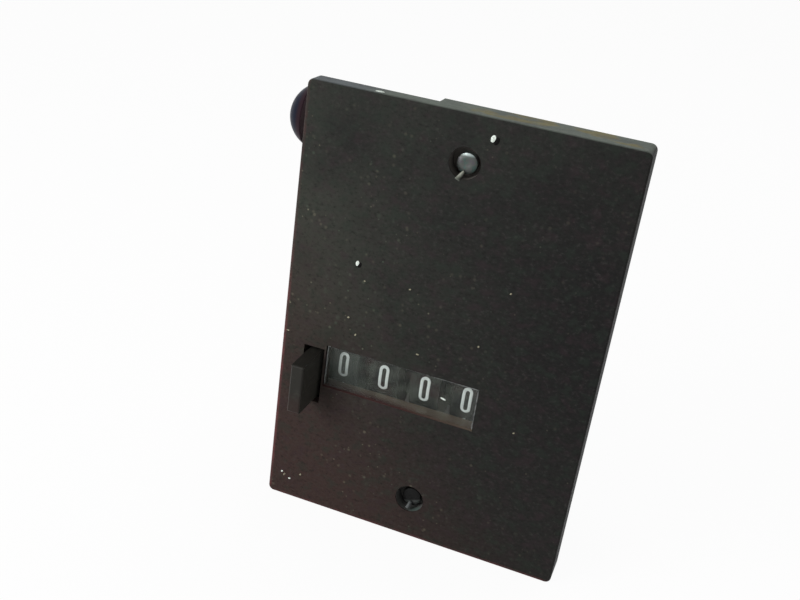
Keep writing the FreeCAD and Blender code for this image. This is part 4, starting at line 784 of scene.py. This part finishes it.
class TALLY_OT_window(bpy.types.Operator):
    """Clear pane whose bevelled edges carry a painted glint"""

    bl_idname = "tally.window"
    bl_label = "Window Pane"

    def execute(self, context):
        look = context.scene.tally_window
        made = box_between(PANE_LOW, PANE_HIGH)
        front_plane = PANE_LOW.y + 0.01 * MM
        front = [edge for edge in made.edges if all(vertex.co.y < front_plane for vertex in edge.verts)]
        rounded(made, front, look.bevel, 2)
        made.normal_update()
        for face in made.faces:
            clear = abs(face.normal.y) > 0.98 or face.normal.z < -0.3
            face.material_index = 0 if clear else 1
        finishes = self.clear(look), self.edge(look)
        pane = finished(made, "clear_pane", "case", "lens", *finishes, smooth=math.radians(15))
        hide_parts("window_lens")
        return {"FINISHED"}

    def clear(self, look):
        """Smeared, with reddish blots and paler ends."""
        finish = Finish("clear_pane", look.pane, 0.12)
        finish.set({"Alpha": look.haze, "IOR": 1.49, "Coat Weight": 0.4, "Coat Roughness": 0.06})
        smears = finish.noise(2.0 * MM, 3, (1, 1, 0.9))
        tints = finish.noise(2.6 * MM, 2)
        tone = finish.mixed(finish.between(smears, 0.38, 0.64), look.between, look.pane)
        tone = finish.mixed(finish.between(tints, 0.50, 0.66, 0.0, 0.7), tone, look.red)
        tone = finish.mixed(finish.ramp(RIGHT, -9 * MM, -14 * MM, 0.0, 0.6), tone, look.left)
        tone = finish.mixed(finish.ramp(RIGHT, 5 * MM, 11 * MM, 0.0, 0.6), tone, look.right)
        finish.coloured(tone)
        finish.rough(finish.between(smears, 0.3, 0.7, 0.08, 0.3))
        return finish.material

    def edge(self, look):
        """A painted glint: bright at the two ends; along the top it fades towards the left."""
        finish = Finish("sawn_edge", look.rim, 0.35)
        finish.set({"Alpha": 0.75, "IOR": 1.2, "Specular IOR Level": 0.15})
        chips = finish.noise(0.5 * MM, 3)
        left_end = finish.ramp(RIGHT, PANE_LOW.x + 0.4 * MM, PANE_LOW.x + 0.7 * MM, 1.0, 0.0)
        right_part = finish.ramp(RIGHT, -2 * MM, PANE_HIGH.x, 0.15, 1.0)
        whole = finish.between(chips, 0.35, 0.6, 0.35, 1.0)
        # Where the painted glint lies
        bright = finish.times(finish.maths("MAXIMUM", left_end, right_part), whole)
        finish.coloured(finish.mixed(bright, look.rim_without_glint, look.rim))
        finish.bumped((chips, 0.03 * MM))
        return finish.material


class TALLY_OT_figures(bpy.types.Operator):
    """Figures 0 to 9 on the four number wheels, and the finish of the wheels"""

    bl_idname = "tally.figures"
    bl_label = "Figures"

    def execute(self, context):
        look = context.scene.tally_figures
        dress("wheel", black_wheel(look))
        finish = Finish("white_figure", look.paint, 0.5)
        patches = finish.noise(0.6 * MM, 3)
        thin = finish.between(patches, 0.45, 0.75)
        finish.coloured(finish.mixed(thin, look.paint, scaled(look.paint, 0.9)))
        finish.bumped((patches, 0.01 * MM))
        for name, rise in WHEELS.items():
            wheel_figures(name, rise, look, finish.material)
        return {"FINISHED"}


class TALLY_OT_button(bpy.types.Operator):
    """Glossy dome of the count button"""

    bl_idname = "tally.button"
    bl_label = "Count Button"

    def execute(self, context):
        look = context.scene.tally_button
        rim = (DOME_HIGH.z - DOME_LOW.z) / 2
        deep = DOME_HIGH.x - DOME_LOW.x
        ball = (rim**2 + deep**2) / (2 * deep)
        back, edge = deep - ball, look.edge
        profile = [point for point in self.arc(ball, deep) if point[0] < back - edge]
        profile += [(back - edge, rim), (back - 0.3 * edge, rim - 0.2 * edge), (back, rim - edge)]
        profile += [(back, look.bore), (back - look.seat, look.bore), (back - look.seat, 0)]
        made = turned(profile)
        middle = Vector((DOME_LOW.x + ball, (DOME_LOW.y + DOME_HIGH.y) / 2, (DOME_LOW.z + DOME_HIGH.z) / 2))
        bmesh.ops.translate(made, vec=middle, verts=made.verts)
        dome = finished(made, "button_dome", "button", "button", self.shell(look))
        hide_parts("count_button")
        return {"FINISHED"}

    def arc(self, ball, deep, steps=26):
        """Points of (x, radius) on a ball from its tip back to a depth."""
        last = math.acos((ball - deep) / ball)
        turns = [last * step / steps for step in range(steps + 1)]
        return [(-ball * math.cos(turn), ball * math.sin(turn)) for turn in turns]

    def shell(self, look):
        """Rubbed in blots, reddish and painted lighter towards the case, and painted light on its flat back, which
        lies in shade.
        """
        finish = Finish("navy_dome", look.shell, look.roughness)
        finish.set({"Specular IOR Level": 0.4, "IOR": 1.14})
        rubbed = finish.between(finish.noise(2 * MM, 4), 0.5, 0.8)
        tone = finish.mixed(finish.times(rubbed, 0.3), look.shell, look.rubbed)
        # Reddish, and painted light towards the case, where the dome turns from the lamps
        tone = finish.mixed(finish.ramp(RIGHT, DOME_LOW.x + 2.2 * MM, DOME_HIGH.x - 0.6 * MM), tone, look.lit_red_brim)
        # Painted light on the flat back, which faces the case and lies in shade
        finish.coloured(finish.mixed(finish.between(finish.facing("X"), 0.3, 0.9), tone, look.back))
        finish.rough(finish.between(rubbed, 0, 1, look.roughness, look.roughness + 0.25))
        finish.bumped((finish.noise(0.5 * MM, 2), 0.01 * MM))
        return finish.material


class TALLY_OT_screws(bpy.types.Operator):
    """Sunk screws with rounded heads and shallow sockets"""

    bl_idname = "tally.screws"
    bl_label = "Case Screws"

    def execute(self, context):
        look = context.scene.tally_screws
        made = bmesh.new()
        for height in (LOWER_SCREW, UPPER_SCREW):
            screw = self.screw(look, SCREW_HIGH.y - SCREW_LOW.y)
            turn = Matrix.Rotation(math.radians(90), 4, "Z")
            place = Matrix.Translation((0, SCREW_LOW.y, height)) @ turn
            bmesh.ops.transform(screw, matrix=place, verts=screw.verts)
            mesh = bpy.data.meshes.new("screw")
            screw.to_mesh(mesh)
            screw.free()
            made.from_mesh(mesh)
            bpy.data.meshes.remove(mesh)
        screws = finished(made, "sunk_screws", "case", "screw", self.plating(look), smooth=math.radians(25))
        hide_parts("case_screws")
        return {"FINISHED"}

    def screw(self, look, reach):
        """A screw along X whose head starts at the origin."""
        socket, crown, corner, dirt = look.socket_radius, look.crown, look.chamfer, 0.15 * MM
        profile = [(look.socket, 0), (look.socket, socket), (0.3 * look.socket, socket + dirt)]
        profile += [(crown, SCREW_HEAD - corner), (crown + 0.35 * corner, SCREW_HEAD - 0.15 * corner)]
        profile += [(crown + corner, SCREW_HEAD), (look.head, SCREW_HEAD), (look.head, look.shank)]
        profile += [(reach - look.taper, look.shank), (reach, look.tip), (reach, 0)]
        return turned(profile, 48)

    def plating(self, look):
        """Stained, with a painted highlight along the upper rim of the upper head, and painted shade over all but
        the foot of the lower one.
        """
        finish = Finish("nickel_plating", look.plating, 0.42, 0.85)
        finish.set({"Specular IOR Level": 0.1})
        stains = finish.noise(0.9 * MM, 3)
        tone = finish.mixed(finish.between(stains, 0.52, 0.66, 0.0, 0.6), look.plating, look.green)
        tone = finish.mixed(finish.between(stains, 0.48, 0.36, 0.0, 0.6), tone, look.violet)
        # Painted highlight along the upper rim of the upper head
        rim = finish.ramp(UP, UPPER_SCREW + 1.00 * MM, UPPER_SCREW + 1.45 * MM, 0.0, 0.9)
        tone = finish.mixed(rim, tone, look.rim_highlight)
        # Painted shade over the lower head, clear at its foot; where shaded it is not metal
        lower = finish.ramp(UP, HALFWAY, HALFWAY + 1 * MM, 1.0, 0.0)
        foot = finish.ramp((0.35, 0, -1), -LOWER_SCREW + 0.35 * MM, -LOWER_SCREW + 0.95 * MM)
        dirt = finish.times(lower, finish.between(foot, 0, 1, 1.0, 0.25))
        finish.coloured(finish.mixed(dirt, tone, look.lower_screw_shade))
        finish.feed(finish.shader.inputs["Metallic"], finish.between(dirt, 0, 1, 0.85, 0.0))
        finish.rough(finish.between(stains, 0.3, 0.7, 0.34, 0.55))
        finish.bumped((finish.noise(0.3 * MM, 3), 0.02 * MM))
        return finish.material


# Metals: the slot and the colour that share a name, the finish, its roughness and which way its lines are drawn
METALS = (
    ("steel", "turned_steel", 0.30, (0.08, 1, 1)),
    ("plated", "zinc_sheet", 0.38, (1, 0.1, 1)),
    ("spring", "spring_steel", 0.34, (0.08, 1, 1)),
    ("brass", "sintered_brass", 0.44, (1, 1, 1)),
)


class TALLY_OT_mechanism(bpy.types.Operator):
    """Finishes of the reset bar, the frame, the pins, the springs and the gears"""

    bl_idname = "tally.mechanism"
    bl_label = "Mechanism"

    def execute(self, context):
        look = context.scene.tally_metals
        dress("tab", handled_tab(look))
        for slot, name, roughness, drawn in METALS:
            dress(slot, brushed_metal(name, getattr(look, slot), roughness, drawn))
        return {"FINISHED"}


class TALLY_OT_springs(bpy.types.Operator):
    """Coil springs copied from the CAD, as pieces of their own"""

    bl_idname = "tally.springs"
    bl_label = "Coil Springs"

    def execute(self, context):
        finish = brushed_metal("coil_wire", context.scene.tally_metals.plated, 0.28)
        self.coil("button_spring", "count_press", Vector(RIGHT), finish)
        self.coil("reset_spring", "reset_push", Vector(BACK), finish)
        return {"FINISHED"}

    def coil(self, node, joint, push, finish):
        """A copy of the CAD spring that rides on the case; the joint and the push are not used."""
        made = bmesh.new()
        made.from_mesh(frame["nodes"][node].data)
        piece = finished(made, f"{node}_wire", "case", "spring", finish, smooth=math.radians(50))
        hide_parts(node)
        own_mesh(piece)


# The finishes of the chips, in the order of their piece's materials
PALE, OCHRE, CHIP_SHADOW, PALE_STREAK = range(4)

# Chips on the face: x and z of the middle, length and width in millimetres, turn in degrees, finish. The dark ones
# beside the two bright chips are painted shadows of those chips.
CHIPS = (
    (3.62, 72.04, 1.18, 0.74, 75, PALE),
    (4.18, 71.78, 1.35, 0.84, 68, CHIP_SHADOW),
    (-14.66, 47.52, 0.92, 0.58, 75, PALE),
    (-14.24, 47.32, 1.05, 0.64, 68, CHIP_SHADOW),
    (-23.90, 4.66, 0.50, 0.34, 35, PALE),
    (-23.40, 4.20, 0.62, 0.34, 60, OCHRE),
    (-22.35, 3.66, 0.46, 0.36, 20, PALE),
    (-20.36, 5.14, 0.46, 0.34, 50, OCHRE),
    (-25.42, 32.45, 0.60, 0.22, 5, OCHRE),
    (-15.05, 37.83, 0.46, 0.34, 20, OCHRE),
    (-13.47, 35.11, 0.50, 0.25, 60, OCHRE),
    (10.49, 49.20, 0.40, 0.28, 30, OCHRE),
    (7.03, 39.08, 0.42, 0.30, 75, OCHRE),
    (15.25, 25.95, 0.42, 0.28, 40, OCHRE),
    (-2.56, 34.79, 0.52, 0.24, 0, OCHRE),
    (-5.41, 45.52, 0.36, 0.26, 20, OCHRE),
    (-13.06, 44.86, 0.36, 0.26, 0, OCHRE),
)
PANE_FLECK = (2.82, 28.10, 1.00, 0.36, -14, PALE)

# The pale spot on top of the rim: x and y of its middle, and half its length, width and height in millimetres
RIM_SPOT, RIM_SPOT_SIZE = (-14.9, -11.4), (0.75, 0.5, 0.04)

# Pale streaks in the screw holes: the wide and the narrow end, and their radii, in millimetres
PALE_STREAKS = (
    ((-0.75, -12.45, 64.72), (-0.22, -11.40, 65.95), 0.58, 0.20),
    ((-0.20, -12.22, 5.35), (0.14, -11.45, 6.42), 0.46, 0.36),
)


class TALLY_OT_chips(bpy.types.Operator):
    """Chips and flecks on the face, the pane and the rim, painted shadows beside two of the chips, and pale
    streaks in the screw holes
    """

    bl_idname = "tally.chips"
    bl_label = "Chips"

    def execute(self, context):
        look = context.scene.tally_chips
        made = bmesh.new()
        for chip in CHIPS:
            self.chip(made, FACE, *chip)
        self.chip(made, PANE_LOW.y, *PANE_FLECK)
        for low, high, wide, narrow in PALE_STREAKS:
            self.pale_streak(made, Vector(low) * MM, Vector(high) * MM, wide * MM, narrow * MM)
        self.rim_spot(made)
        finishes = (
            self.paint("pale_chip", look.pale, look.pale_shade),
            self.paint("ochre_fleck", look.ochre, look.ochre_shade),
            # Painted shadows beside the bright chips
            self.paint("dark_pit", look.pit, look.chip_shadow_pale),
            self.fading(look),
        )
        finished(made, "face_chips", "case", "case", *finishes, smooth=math.radians(50))
        return {"FINISHED"}

    def chip(self, made, y, x, z, long, wide, turn, finish):
        """A low lens-shaped chip, half sunk in what carries it; a painted shadow lies flatter than a chip."""
        proud = 0.03 * MM if finish == CHIP_SHADOW else 0.06 * MM
        size = Matrix.Diagonal((long / 2 * MM, proud, wide / 2 * MM, 1))
        place = Matrix.Translation((x * MM, y, z * MM)) @ Matrix.Rotation(math.radians(-turn), 4, "Y")
        ball = bmesh.ops.create_icosphere(made, subdivisions=2, radius=1, matrix=place @ size)
        self.give(ball, finish)

    def rim_spot(self, made):
        """A pale spot that lies on top of the rim."""
        place = Matrix.Translation((*Vector(RIM_SPOT) * MM, COVER_HIGH.z))
        size = Matrix.Diagonal((*Vector(RIM_SPOT_SIZE) * MM, 1))
        bmesh.ops.create_icosphere(made, subdivisions=2, radius=1, matrix=place @ size)

    def pale_streak(self, made, low, high, wide, narrow):
        """A pale tapered streak that leans from a hole's lower edge onto the screw's head."""
        lean = (high - low).normalized()
        turn = lean.to_track_quat("Z", "X").to_matrix().to_4x4()
        flat = Matrix.Diagonal((1, 0.7, 1, 1))
        place = Matrix.Translation((low + high) / 2) @ turn @ flat
        size = {"radius1": wide, "radius2": narrow, "depth": (high - low).length}
        cone = bmesh.ops.create_cone(made, cap_ends=True, segments=14, matrix=place, **size)
        self.give(cone, PALE_STREAK)
        edges = {edge for vertex in cone["verts"] for edge in vertex.link_edges if len(edge.link_faces) == 2}
        ends = [edge for edge in edges if any(len(face.verts) > 4 for face in edge.link_faces)]
        rounded(made, sorted(ends, key=lambda edge: edge.index), 0.8 * narrow)

    def give(self, shape, finish):
        """Every face of a shape gets one of the four finishes."""
        for face in {face for vertex in shape["verts"] for face in vertex.link_faces}:
            face.material_index = finish

    def fading(self, look):
        """The upper streak is bright at its narrow end and duller at its wide one; the lower one is dull."""
        finish = Finish("fading_flake", look.foot, 0.5)
        finish.set({"Specular IOR Level": 0.1})
        dull = finish.mixed(finish.ramp(UP, HALFWAY, HALFWAY + 1 * MM), look.lower, look.foot)
        foot = UPPER_HOLE - HOLE
        finish.coloured(finish.mixed(finish.ramp(UP, foot, foot + 0.8 * MM), dull, look.tip))
        finish.bumped((finish.noise(0.3 * MM, 2), 0.02 * MM))
        return finish.material

    def paint(self, name, tone, shade):
        finish = Finish(name, tone, 0.6)
        finish.set({"Specular IOR Level": 0.05})
        finish.coloured(finish.mixed(finish.between(finish.noise(0.25 * MM, 2), 0.4, 0.65), tone, shade))
        return finish.material


class TALLY_PT_portrait(bpy.types.Panel):
    """Steps and settings of the portrait"""

    bl_label = "Tally Counter"
    bl_idname = "TALLY_PT_portrait"
    bl_space_type = "VIEW_3D"
    bl_region_type = "UI"
    bl_category = "Tally"

    def draw(self, context):
        for step in STEPS:
            self.layout.operator(step.bl_idname)
        for name, group in GROUPS.items():
            box = self.layout.box()
            for setting in group.__annotations__:
                box.prop(getattr(context.scene, name), setting)


STEPS = (
    TALLY_OT_stage,
    TALLY_OT_case,
    TALLY_OT_window,
    TALLY_OT_figures,
    TALLY_OT_button,
    TALLY_OT_screws,
    TALLY_OT_mechanism,
    TALLY_OT_springs,
    TALLY_OT_chips,
)


def register():
    for made in (*GROUPS.values(), *STEPS, TALLY_PT_portrait):
        bpy.utils.register_class(made)
    for name, group in GROUPS.items():
        setattr(bpy.types.Scene, name, PointerProperty(type=group))


def unregister():
    for name in GROUPS:
        delattr(bpy.types.Scene, name)
    for made in reversed((*GROUPS.values(), *STEPS, TALLY_PT_portrait)):
        bpy.utils.unregister_class(made)


def main():
    register()
    bpy.ops.tally.stage()
    bpy.ops.tally.case()
    bpy.ops.tally.window()
    bpy.ops.tally.figures()
    bpy.ops.tally.button()
    bpy.ops.tally.screws()
    bpy.ops.tally.mechanism()
    bpy.ops.tally.springs()
    bpy.ops.tally.chips()


if __name__ == "__main__":
    main()
